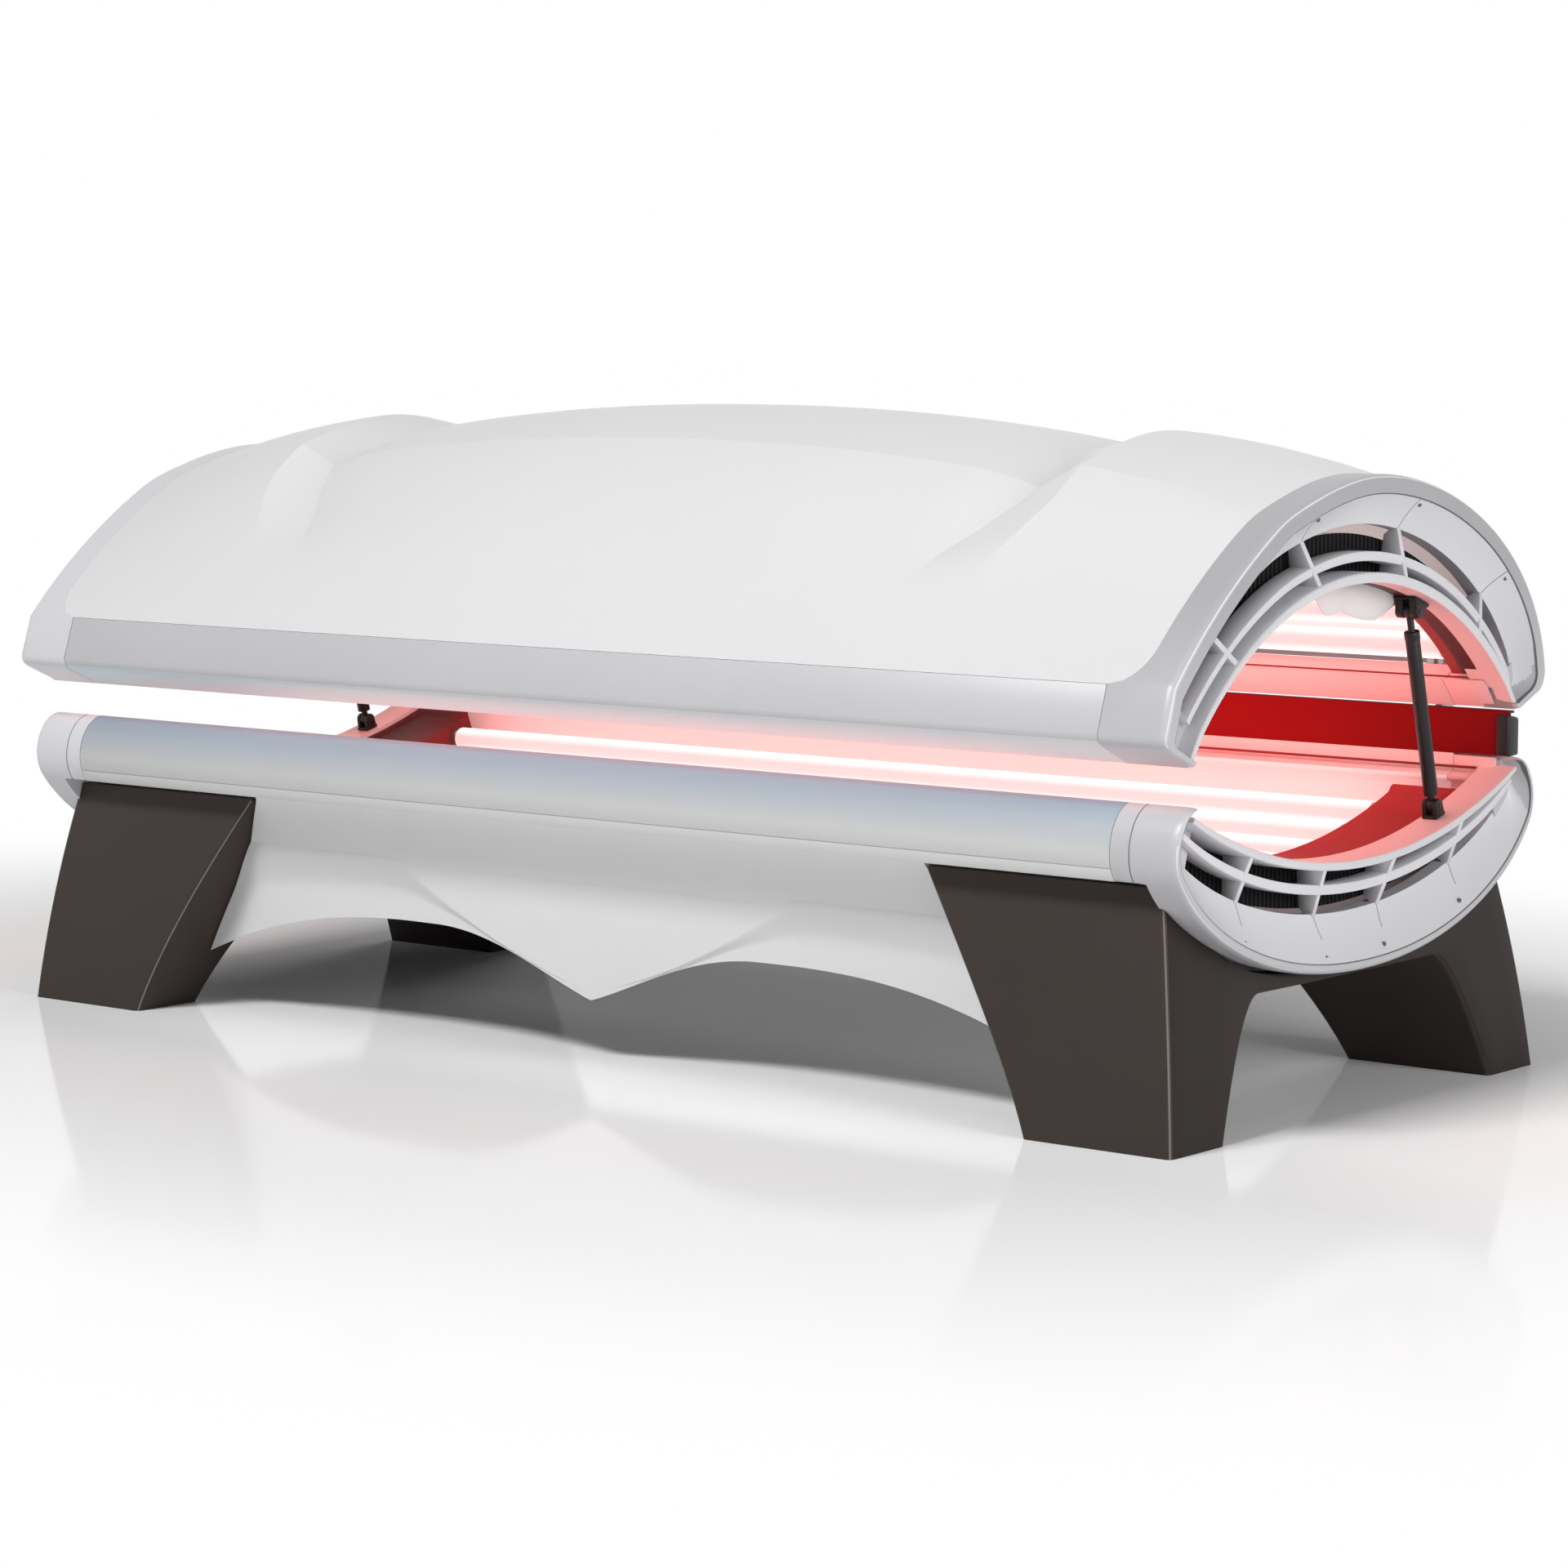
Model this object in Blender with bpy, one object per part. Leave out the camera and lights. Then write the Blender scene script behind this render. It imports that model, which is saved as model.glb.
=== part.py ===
"""Red light therapy bed: a lamp bench on two leg arches under a hinged lamp canopy.

X runs along the bench, the user climbs in from -Y, Z is up, and the origin lies on the floor
under the middle. Lengths are in metres, angles in degrees. Outlines are (y, z) points.
"""

import math

import bmesh
import bpy
from mathutils import Matrix, Vector
from mathutils.geometry import interpolate_bezier

# Clearances
GAP = 0.0003
SHEET_REST = 0.0006
EDGE_PLAY = 0.0005
SKIRT_PLAY = 0.003
PIN_PLAY = 0.0003
SLIDE_PLAY = 0.0005

# Length of the bed, from its middle outwards
HALF_LENGTH = 1.107
NOSE_DEPTH = 0.057
CAP_LENGTH = 0.050
RING_DEPTH = 0.062
RING_SETBACK = 0.005
BED_SOCKET_LENGTH = 0.115
CANOPY_SOCKET_LENGTH = 0.030

# Lying surface of the bench
BED_TOP = 0.352
BED_RADIUS = 0.980
BED_HALF_WIDTH = 0.412
BED_SHEET = 0.006

# Rails of the bench
RAIL_LIP = 0.018
RAIL_HEIGHT = 0.103
RAIL_LIP_WIDTH = 0.011
RAIL_NOSE = 0.060
RAIL_FOOT = 0.045
RAIL_BROW = 0.040
RAIL_CHIN = 0.028
RAIL_CHIN_RISE = 0.037
RAIL_FLANGE = 0.027
RAIL_WALL = 0.006
LEDGE_WIDTH = 0.014

# Tub and skirt under the bench
TUB_DEPTH = 0.146
TUB_HALF_WIDTH = 0.395
TUB_FLAT = 0.110
TUB_DROP = 0.107
TUB_SIDE = 0.020
TUB_BEND = 0.150
TUB_WALL = 0.003
BELLY_DEPTH = 0.156
BELLY_DROP = 0.093
BELLY_SIDE = 0.067
BELLY_HALF_FLAT = 0.220
SKIRT_WALL = 0.004
SKIRT_SETBACK = 0.037
SKIRT_EDGE_Y = 0.350
SKIRT_HOLLOW = 0.012
KEEL_EDGE = 0.016
KEEL_HEIGHT = 0.090
SCALLOP_HEIGHT = 0.176
SCALLOP_SHARE = 0.340
KEEL_BEND = 1.1
SKIRT_TAIL_HEIGHT = 0.088
CREASE_DROP = 0.083
CREASE_SHARE = 0.450

# Leg arches
LEG_GAP = 0.009
LEG_TOP_WIDTH = 0.396
LEG_TOP_REACH = 0.003
FOOT_WIDTH = 0.242
FOOT_FRONT = 0.478
FOOT_BACK = 0.348
LEG_TOP_Y = 0.421
LEG_BULGE = 0.007
SADDLE_THICKNESS = 0.018
ARCH_SHOULDER = 0.225
ARCH_BEND = 0.037
ARCH_SIDE = 0.038
ARCH_SIDE_RISE = 0.100
LEG_EDGE_HIGH_OUT = 0.075
LEG_EDGE_HIGH_DROP = 0.108
LEG_EDGE_LOW_IN = 0.040
LEG_EDGE_LOW_RISE = 0.105
CUT_MARGIN = 0.050

# Tunnel surface of the canopy and the gap under its front edge
FRONT_GAP = 0.052
TRIM_RISE = 0.033
TUNNEL_RADIUS = 0.536
ARCH_FRONT_Y = 0.408
ARCH_REAR_Y = 0.388
CANOPY_SHEET = 0.005
GROOVE_LIP = 0.0038
GROOVE_REACH_ANGLE = 1.2
GROOVE_WALL = 0.0165
GROOVE_PLAY_ANGLE = 0.1

# Outer form of the canopy: strip, front crease, crest along the length, rear edge.
# A lift is a share of the crest's own lift.
LIP_Y = 0.430
STRIP_Y = 0.499
STRIP_BOTTOM = 0.045
STRIP_TOP = 0.109
STRIP_ROUND_IN = 0.003
STRIP_ROUND_DROP = 0.011
STRIP_UNDER_IN = 0.011
STRIP_UNDER_DROP = 0.018
SHELL_FOOT_Y = 0.478
CREASE_Y = 0.200
CREASE_RISE = 0.325
FACE_LOW_Y = 0.400
FACE_LOW_RISE = 0.197
FACE_LOW_LIFT_SHARE = 0.4
FACE_HIGH_Y = 0.300
FACE_HIGH_RISE = 0.272
FACE_HIGH_LIFT_SHARE = 0.8
BROW_Y = 0.120
BROW_RISE = 0.349
CREST_Y = 0.030
CREST_FRONT_Y = 0.050
CREST_BACK_Y = 0.220
BACK_Y = 0.470
BACK_RISE = 0.267
BACK_LIFT_SHARE = 0.5
CREST_END_RISE = 0.371
CREST_HUMP_RISE = 0.423
CREST_DIP_RISE = 0.407
CREST_MID_RISE = 0.452
CREST_BEND = 2.2
END_BEND = 1.6
DIP_INSET = 0.410
HUMP_INSET = 0.295
SHELL_REAR_Y = 0.499
SHELL_REAR_RISE = 0.072
SHELL_WALL = 0.004
CORNER_RADIUS = 0.050
REAR_RAIL_BACK_Y = 0.430
REAR_RAIL_RISE = 0.018
REAR_RAIL_HEIGHT = 0.059
HEEL_IN = 0.014
HEEL_DROP = 0.030

# Grilles of the end frames, as shares of the way from the outer edge to the ring
BED_COVE, BED_BLADE, BED_BLADE_END, BED_RING = 0.52, 0.74, 0.79, 0.92
CANOPY_COVE, CANOPY_BLADE, CANOPY_BLADE_END, CANOPY_RING = 0.46, 0.745, 0.80, 0.90
NOSE_INSET = 0.008
NOSE_LENGTH = 0.014
GRILLE_SETBACK = 0.034
SCOOP_DEPTH = 0.021
BLADE_SETBACK = 0.018
RIB_END_SHARE = 0.97
WEB_START_SHARE = 0.06
WEB_SHIFT_SHARE = 0.3
WEB_SETBACK = 0.031
RING_CUT_SHARE = 0.3
GRILLE_BACK = 0.004
RIB_WIDTH = 0.007
RIB_PROUD = 0.003
RIB_RISE = 0.012
CAP_INSET = 0.0007
BED_RIB_PITCH = 10.9
CANOPY_RIB_PITCH = 23.7
RIBS = 4
RING_OVERRUN_ANGLE = 0.6
RING_CROWDING_SHARE = 0.8

# Lamps and the sheet-metal reflectors behind them
LAMP_RADIUS = 0.019
LAMP_CAP_RADIUS = 0.017
LAMP_CAP_LENGTH = 0.014
LAMP_GAP = 0.012
BED_LAMPS = 9
BED_LAMP_ANGLE = 19.2
CANOPY_LAMPS = 11
CANOPY_LAMP_ANGLE = 42.5
REFLECTOR_GAP = 0.010
REFLECTOR_WALL = 0.0025
BED_REFLECTOR_ANGLE = 20.8
CANOPY_REFLECTOR_ANGLE = 45.0
SOCKET_SIDE_PLAY = 0.002

# Hinge of the canopy
HINGE_Y = 0.452
HINGE_RISE = 0.144
SHAFT_RADIUS = 0.008
HINGE_INSET = 0.050
HINGE_PLATE = 0.012
HINGE_EYE = 0.016
BRACKET_FOOT = 0.008
BRACKET_FLANGE = 0.036
LUG_HALF_HEIGHT = 0.014

# Rear panel between bench and canopy
PANEL_Y = 0.4165
PANEL_DEPTH = 0.013
PANEL_WALL = 0.004
PANEL_HEIGHT = 0.067

# Gas springs
LOWER_PIVOT_Y = 0.249
PIVOT_STANDOFF = 0.018
STRUT_INSET = 0.019
CYLINDER_RADIUS = 0.013
ROD_RADIUS = 0.005
STRUT_EYE = 0.009
EYE_WIDTH = 0.010
PIVOT_PIN = 0.004
MOUNT_PLATE = 0.006
MOUNT_BASE = 0.036
ROD_EXPOSED = 0.030
CYLINDER_FOOT = 0.016
BORE_FLOOR = 0.014

# Parts inside the tub
CHASSIS_Y = 0.095
CHASSIS_WIDTH = 0.024
CHASSIS_HEIGHT = 0.030
CROSS_INSET = 0.100
BALLAST_SHARE = 0.600
BALLAST_START_SHARE = 0.120
BALLAST_HEIGHT = 0.060
BALLAST_RADIUS_GAP = 0.006
FAN_SHARE = 0.450
FAN_RADIUS = 0.072
FAN_WALL = 0.004
FAN_HEIGHT = 0.040
FAN_HUB = 0.020
FAN_TIP_GAP = 0.004
FAN_BLADES = 5
FAN_BLADE_PITCH = 35.0
FAN_BLADE_WIDTH = 0.030
FAN_BLADE_THICKNESS = 0.003
FAN_SHAFT = 0.004
GUARD_BAR = 0.005

# Mains inlet on the rear rail
INLET_SHARE = 0.800
INLET_WIDTH = 0.048
INLET_HEIGHT = 0.036
INLET_PLATE = 0.004
INLET_RADIUS = 0.010
INLET_LENGTH = 0.020

# Facets
ARC_STEPS = 24
NOSE_STEPS = 7
LEG_STEPS = 5
SKIRT_STEPS = 16
DIP_STATIONS = (0.0, 0.25, 0.5, 0.72, 0.89, 1.0)
FACE_STEPS = 24
TOP_STEPS = 4
BACK_STEPS = 8
BELLY_STEPS = 7
BULGE_STEPS = 4
TUB_STEPS = 6
FACE_PICKS = (0, 1, 2, 4, 8, 12, 16, 20, 24)
ROUND_SIDES = 10
FINE_SIDES = 20

# Levels that follow from the sizes above
SHELL_HALF = HALF_LENGTH - NOSE_DEPTH
RAIL_HALF = SHELL_HALF - CAP_LENGTH
RING_OUT = HALF_LENGTH - RING_SETBACK
RING_IN = HALF_LENGTH - RING_DEPTH + GAP
SHEET_HALF = HALF_LENGTH - RING_DEPTH
BED_LAMP_HALF = SHEET_HALF - BED_SOCKET_LENGTH
CANOPY_LAMP_HALF = SHEET_HALF - CANOPY_SOCKET_LENGTH
FRAME_IN = SHELL_HALF + GAP
DIP_X = SHELL_HALF - DIP_INSET
HUMP_X = SHELL_HALF - HUMP_INSET
SCALLOP_HALF = RAIL_HALF * SCALLOP_SHARE
CREASE_HALF = RAIL_HALF * CREASE_SHARE
HINGE_X = RAIL_HALF - HINGE_INSET
CHASSIS_CROSS_X = RAIL_HALF - CROSS_INSET
BALLAST_START = RAIL_HALF * BALLAST_START_SHARE
BALLAST_LENGTH = RAIL_HALF * BALLAST_SHARE
FAN_X = -RAIL_HALF * FAN_SHARE
INLET_X = -RAIL_HALF * INLET_SHARE
GRILLE_X = HALF_LENGTH - GRILLE_SETBACK
SCOOP_X = HALF_LENGTH - SCOOP_DEPTH
WEB_X = HALF_LENGTH - WEB_SETBACK
BED_CENTRE_Z = BED_TOP + BED_RADIUS
BED_EDGE_ANGLE = math.degrees(math.asin(BED_HALF_WIDTH / BED_RADIUS))
BED_EDGE_Z = BED_CENTRE_Z - BED_RADIUS * math.cos(math.radians(BED_EDGE_ANGLE))
RAIL_TOP = BED_EDGE_Z + RAIL_LIP
RAIL_BOTTOM = RAIL_TOP - RAIL_HEIGHT
RAIL_INNER_Y = BED_HALF_WIDTH * (1.0 + BED_SHEET / BED_RADIUS) + EDGE_PLAY
RAIL_BACK_Y = BED_HALF_WIDTH + RAIL_NOSE
TUB_FLOOR = BED_TOP - TUB_DEPTH
LEG_TOP = RAIL_BOTTOM - LEG_GAP
LEG_TOP_OUT = SHELL_HALF + LEG_TOP_REACH
CANOPY_LIP_Z = RAIL_TOP + FRONT_GAP
ARCH_FRONT_ANGLE = math.degrees(math.asin(ARCH_FRONT_Y / TUNNEL_RADIUS))
ARCH_REAR_ANGLE = math.degrees(math.asin(ARCH_REAR_Y / TUNNEL_RADIUS))
ARCH_SAG_ANGLE = math.radians((ARCH_FRONT_ANGLE + ARCH_REAR_ANGLE) / ARC_STEPS / 2)
GROOVE_PLAY = GAP + TUNNEL_RADIUS * (1.0 - math.cos(ARCH_SAG_ANGLE))
ARCH_DROP = TUNNEL_RADIUS * math.cos(math.radians(ARCH_FRONT_ANGLE))
ARCH_CENTRE_Z = CANOPY_LIP_Z + TRIM_RISE - ARCH_DROP
HINGE_Z = RAIL_TOP + HINGE_RISE
STRUT_X = SHEET_HALF + STRUT_INSET


def bed(depth, angle):
    """Point at a depth under the lying surface, at an angle from straight down."""
    radius = BED_RADIUS + depth
    turn = math.radians(angle)
    return radius * math.sin(turn), BED_CENTRE_Z - radius * math.cos(turn)


def arch(height, angle):
    """Point at a height over the tunnel surface, at an angle from straight up."""
    radius = TUNNEL_RADIUS + height
    turn = math.radians(angle)
    return radius * math.sin(turn), ARCH_CENTRE_Z + radius * math.cos(turn)


def arc(layer, offset, start, end, steps=ARC_STEPS):
    """Points along one concentric layer of the bed or the arch."""
    return [layer(offset, start + (end - start) * i / steps) for i in range(steps + 1)]


def tongue(centre, half_width, end, steps=12):
    """Outline of a flat bar with a round eye at its centre and a square end below it."""
    points = [(centre[0] - half_width, end), (centre[0] + half_width, end)]
    for i in range(steps + 1):
        turn = math.pi * i / steps
        points.append((centre[0] + half_width * math.cos(turn), centre[1] + half_width * math.sin(turn)))
    return points


def arc_band(layer, inner, outer, start, end):
    """Closed outline between two concentric layers."""
    return arc(layer, inner, start, end) + arc(layer, outer, end, start)


def smooth(start, start_handle, end_handle, end, steps):
    """Points along a cubic curve with two handles."""
    knots = [Vector((y, z, 0.0)) for y, z in (start, start_handle, end_handle, end)]
    return [(point.x, point.y) for point in interpolate_bezier(*knots, steps + 1)]


def mirrored(points):
    """The same points on the other side of the Y axis, in reverse order."""
    return [(-y, z) for y, z in reversed(points)]


def offset_path(points, distance):
    """Open path moved to its left by a distance."""
    normals = []
    for (y0, z0), (y1, z1) in zip(points, points[1:]):
        length = math.hypot(y1 - y0, z1 - z0)
        normals.append(Vector(((z0 - z1) / length, (y1 - y0) / length)))
    moved = []
    for index, (y, z) in enumerate(points):
        before = normals[max(index - 1, 0)]
        after = normals[min(index, len(normals) - 1)]
        middle = (before + after).normalized()
        reach = distance / middle.dot(after)
        moved.append((y + middle.x * reach, z + middle.y * reach))
    return moved


def fresh_scene():
    """Remove what the scene holds and make the collection of the bed's parts."""
    for item in list(bpy.data.objects):
        bpy.data.objects.remove(item, do_unlink=True)
    parts = bpy.data.collections.new("red_light_therapy_bed")
    bpy.context.scene.collection.children.link(parts)
    return parts


PARTS = fresh_scene()


def finish(name, colour, roughness, metallic=0.0, glow=0.0):
    """Principled material of one piece."""
    material = bpy.data.materials.new(name)
    material.use_nodes = True
    shader = material.node_tree.nodes["Principled BSDF"]
    shader.inputs["Base Color"].default_value = (*colour, 1.0)
    shader.inputs["Roughness"].default_value = roughness
    shader.inputs["Metallic"].default_value = metallic
    shader.inputs["Emission Color"].default_value = (*colour, 1.0)
    shader.inputs["Emission Strength"].default_value = glow
    material.diffuse_color = (*colour, 1.0)
    return material


WHITE_GLOSS = ((0.86, 0.86, 0.87), 0.18)
PALE_GREY = ((0.62, 0.63, 0.65), 0.35)
SILVER = ((0.74, 0.76, 0.79), 0.30, 0.6)
DARK_BROWN = ((0.067, 0.052, 0.046), 0.45)
DEEP_RED = ((0.42, 0.008, 0.010), 0.30)
CLEAR_PINK = ((0.95, 0.42, 0.42), 0.08)
LAMP_GLOW = ((1.0, 0.72, 0.70), 0.15, 0.0, 4.0)
MIRROR_WHITE = ((0.90, 0.82, 0.82), 0.12, 0.9)
BLACK = ((0.015, 0.015, 0.016), 0.40)
STEEL = ((0.45, 0.46, 0.48), 0.35, 1.0)
ZINC = ((0.55, 0.56, 0.57), 0.45, 0.9)


def add_empty(name, place, parent=None):
    """Axis of a moving group, at a place in the frame of the whole bed."""
    empty = bpy.data.objects.new(name, None)
    empty.empty_display_size = 0.05
    PARTS.objects.link(empty)
    empty["place"] = place
    empty.parent = parent
    base = Vector(parent["place"]) if parent else Vector()
    empty.location = Vector(place) - base
    return empty


def add_part(name, mesh, look, axis):
    """One piece of the bed, with its origin on the axis that carries it."""
    mesh.name = name
    mesh.transform(Matrix.Translation(-Vector(axis["place"])))
    mesh.materials.clear()
    mesh.materials.append(finish(name, *look))
    mesh.shade_smooth()
    mesh.set_sharp_from_angle(angle=math.radians(30.0))
    part = bpy.data.objects.new(name, mesh)
    PARTS.objects.link(part)
    part.parent = axis
    return part


def to_mesh(shape):
    """Mesh of a bmesh, with its faces pointing out."""
    bmesh.ops.recalc_face_normals(shape, faces=shape.faces)
    mesh = bpy.data.meshes.new("solid")
    shape.to_mesh(mesh)
    shape.free()
    return mesh


ALONG_X = Matrix(((0, 0, 1, 0), (1, 0, 0, 0), (0, 1, 0, 0), (0, 0, 0, 1)))
ALONG_Y = Matrix(((1, 0, 0, 0), (0, 0, -1, 0), (0, 1, 0, 0), (0, 0, 0, 1)))


def extrude(outline, start, end, turn):
    """Solid of a flat outline drawn out between two planes."""
    curve = bpy.data.curves.new("outline", "CURVE")
    curve.dimensions = "2D"
    curve.fill_mode = "BOTH"
    curve.extrude = abs(end - start) / 2
    spline = curve.splines.new("POLY")
    spline.points.add(len(outline) - 1)
    for point, (u, v) in zip(spline.points, outline):
        point.co = (u, v, 0.0, 1.0)
    spline.use_cyclic_u = True
    drawn = bpy.data.objects.new("outline", curve)
    bpy.context.scene.collection.objects.link(drawn)
    graph = bpy.context.evaluated_depsgraph_get()
    flat = bpy.data.meshes.new_from_object(drawn.evaluated_get(graph))
    bpy.data.objects.remove(drawn)
    shape = bmesh.new()
    shape.from_mesh(flat)
    bmesh.ops.remove_doubles(shape, verts=shape.verts, dist=1e-6)
    middle = turn @ Vector((0.0, 0.0, 1.0)) * ((start + end) / 2)
    bmesh.ops.transform(shape, matrix=Matrix.Translation(middle) @ turn, verts=shape.verts)
    return to_mesh(shape)


def prism(outline, start, end):
    """Solid of a (y, z) outline between two planes across the length."""
    return extrude(outline, start, end, ALONG_X)


def box(low, high):
    """Rectangular block between two corners."""
    shape = bmesh.new()
    size = Vector(high) - Vector(low)
    middle = (Vector(high) + Vector(low)) / 2
    place = Matrix.Translation(middle) @ Matrix.Diagonal((*size, 1.0))
    bmesh.ops.create_cube(shape, size=1.0, matrix=place)
    return to_mesh(shape)


def rod(start, end, radius, sides=ROUND_SIDES):
    """Round bar between two points."""
    start, end = Vector(start), Vector(end)
    run = end - start
    place = Matrix.Translation((start + end) / 2) @ run.to_track_quat("Z", "Y").to_matrix().to_4x4()
    shape = bmesh.new()
    bmesh.ops.create_cone(shape, cap_ends=True, segments=sides, radius1=radius, radius2=radius,
                          depth=run.length, matrix=place)
    return to_mesh(shape)


def loft(sections):
    """Solid through closed sections that have the same number of points."""
    shape = bmesh.new()
    rings = [[shape.verts.new(point) for point in section] for section in sections]
    count = len(rings[0])
    for ring, after in zip(rings, rings[1:]):
        for i in range(count):
            j = (i + 1) % count
            shape.faces.new((ring[i], ring[j], after[j], after[i]))
    shape.faces.new(rings[0])
    shape.faces.new(rings[-1])
    return to_mesh(shape)


def thick_sheet(outer, inner):
    """Solid between two grids of points that have the same rows and columns."""
    shape = bmesh.new()
    front = [[shape.verts.new(point) for point in row] for row in outer]
    back = [[shape.verts.new(point) for point in row] for row in inner]
    rows, columns = len(front), len(front[0])
    for grid in (front, back):
        for i in range(rows - 1):
            for j in range(columns - 1):
                shape.faces.new((grid[i][j], grid[i + 1][j], grid[i + 1][j + 1], grid[i][j + 1]))
    for i in range(rows - 1):
        for j in (0, columns - 1):
            shape.faces.new((front[i][j], front[i + 1][j], back[i + 1][j], back[i][j]))
    for j in range(columns - 1):
        for i in (0, rows - 1):
            shape.faces.new((front[i][j], front[i][j + 1], back[i][j + 1], back[i][j]))
    return to_mesh(shape)


def combine(base, tools, operation):
    """Mesh of a base after Booleans with other meshes."""
    scene = bpy.context.scene.collection
    work = bpy.data.objects.new("work", base)
    scene.objects.link(work)
    helpers = []
    for tool in tools:
        helper = bpy.data.objects.new("cutter", tool)
        scene.objects.link(helper)
        helpers.append(helper)
        step = work.modifiers.new("boolean", "BOOLEAN")
        step.operation = operation
        step.object = helper
    graph = bpy.context.evaluated_depsgraph_get()
    result = bpy.data.meshes.new_from_object(work.evaluated_get(graph))
    for helper in helpers + [work]:
        bpy.data.objects.remove(helper)
    return result


def union(base, *tools):
    """One body from several that overlap."""
    return combine(base, tools, "UNION")


def cut(base, *tools):
    """A body with others taken out of it."""
    return combine(base, tools, "DIFFERENCE")


def other_end(mesh):
    """The same piece for the left end of the bed."""
    shape = bmesh.new()
    shape.from_mesh(mesh)
    bmesh.ops.scale(shape, vec=(-1.0, 1.0, 1.0), verts=shape.verts)
    return to_mesh(shape)


def add_pair(name, mesh, look, right_axis, left_axis=None):
    """A piece at the right end and its mirror image at the left end."""
    left = other_end(mesh)
    add_part(name + "_right", mesh, look, right_axis)
    add_part(name + "_left", left, look, left_axis or right_axis)


def strut_pivots():
    """Pivots of a gas spring, equally far from the hinge, so that it turns half as fast."""
    lower = bed(-PIVOT_STANDOFF, math.degrees(math.asin(LOWER_PIVOT_Y / (BED_RADIUS - PIVOT_STANDOFF))))
    arm = math.hypot(lower[0] - HINGE_Y, lower[1] - HINGE_Z)
    reach = TUNNEL_RADIUS - PIVOT_STANDOFF
    base = Vector((HINGE_Y, HINGE_Z - ARCH_CENTRE_Z))
    along = (reach ** 2 - arm ** 2 + base.length_squared) / (2 * base.length)
    across = math.sqrt(reach ** 2 - along ** 2)
    unit = base.normalized()
    upper = unit * along + Vector((-unit.y, unit.x)) * across
    return lower, (upper.x, upper.y + ARCH_CENTRE_Z)


LOWER_PIVOT, UPPER_PIVOT = strut_pivots()

BENCH = add_empty("bench", (0.0, 0.0, 0.0))
CANOPY = add_empty("canopy_hinge", (0.0, HINGE_Y, HINGE_Z), BENCH)
CYLINDER_RIGHT = add_empty("cylinder_pivot_right", (STRUT_X, *LOWER_PIVOT), BENCH)
CYLINDER_LEFT = add_empty("cylinder_pivot_left", (-STRUT_X, *LOWER_PIVOT), BENCH)
ROD_RIGHT = add_empty("rod_pivot_right", (STRUT_X, *UPPER_PIVOT), CANOPY)
ROD_LEFT = add_empty("rod_pivot_left", (-STRUT_X, *UPPER_PIVOT), CANOPY)
FAN_AXIS = add_empty("fan_axis", (FAN_X, 0.0, TUB_FLOOR + TUB_WALL), BENCH)


def ledge_points(side):
    """Inner side of a bench rail, from its bottom flange up to the wall beside the sheet."""
    rest = BED_SHEET + GAP
    radius = BED_RADIUS + rest
    wall_angle = math.degrees(math.asin(RAIL_INNER_Y / radius))
    tip_angle = math.degrees(math.asin((BED_HALF_WIDTH - LEDGE_WIDTH) / radius))
    tip = bed(rest, tip_angle)
    flange = RAIL_INNER_Y - RAIL_FLANGE
    points = [(flange, RAIL_BOTTOM), (flange, RAIL_BOTTOM + RAIL_WALL),
              (RAIL_INNER_Y - RAIL_WALL / 2, RAIL_BOTTOM + RAIL_WALL),
              (RAIL_INNER_Y - RAIL_WALL / 2, tip[1] - 2 * RAIL_WALL),
              (tip[0], tip[1] - RAIL_WALL), tip, bed(rest, wall_angle)]
    return [(side * y, z) for y, z in points]


def rail_nose():
    """Rounded outside of the front rail, from its lip down to its foot."""
    lip = (-(BED_HALF_WIDTH + RAIL_LIP_WIDTH), RAIL_TOP)
    foot = (-(BED_HALF_WIDTH + RAIL_FOOT), RAIL_BOTTOM)
    brow = (lip[0] - RAIL_BROW, RAIL_TOP - RAIL_WALL)
    chin = (foot[0] - RAIL_CHIN, RAIL_BOTTOM + RAIL_CHIN_RISE)
    return smooth(lip, brow, chin, foot, NOSE_STEPS)


def bench_front_outline():
    """Section of the front rail: a rounded nose with a ledge for the sheet."""
    return rail_nose() + ledge_points(-1) + [(-RAIL_INNER_Y, RAIL_TOP - RAIL_WALL / 2)]


def bench_rear_outline():
    """Section of the rear rail: a square back with the same ledge."""
    back = [(RAIL_INNER_Y, RAIL_TOP), (RAIL_BACK_Y, RAIL_TOP), (RAIL_BACK_Y, RAIL_BOTTOM)]
    return ledge_points(1) + back


def tub_contour():
    """Outside of the tub from its front edge to its rear edge."""
    top = RAIL_BOTTOM - GAP
    edge = (-TUB_HALF_WIDTH, top)
    flat = (-TUB_FLAT, TUB_FLOOR)
    down = (edge[0] + TUB_SIDE, top - TUB_DROP)
    side = smooth(edge, down, (flat[0] - TUB_BEND, TUB_FLOOR), flat, TUB_STEPS)
    return side + mirrored(side)


def belly_contour():
    """Lower outline of the end frames, from the front rail to the rear rail."""
    foot = (-(BED_HALF_WIDTH + RAIL_FOOT), RAIL_BOTTOM)
    low = BED_TOP - BELLY_DEPTH
    side = (foot[0] + BELLY_SIDE, RAIL_BOTTOM - BELLY_DROP)
    half = smooth(foot, side, (-BELLY_HALF_FLAT, low), (0.0, low), BELLY_STEPS)
    return half + mirrored(half)[1:]


def crest_rise(x):
    """Height of the canopy's crest over the front lip, along the length."""
    along = abs(x)
    if along < DIP_X:
        return CREST_MID_RISE - (CREST_MID_RISE - CREST_DIP_RISE) * (along / DIP_X) ** CREST_BEND
    if along < HUMP_X:
        share = (along - DIP_X) / (HUMP_X - DIP_X)
        return CREST_DIP_RISE + (CREST_HUMP_RISE - CREST_DIP_RISE) * share * share * (3 - 2 * share)
    share = (along - HUMP_X) / (SHELL_HALF - HUMP_X)
    return CREST_HUMP_RISE - (CREST_HUMP_RISE - CREST_END_RISE) * share ** END_BEND


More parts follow.
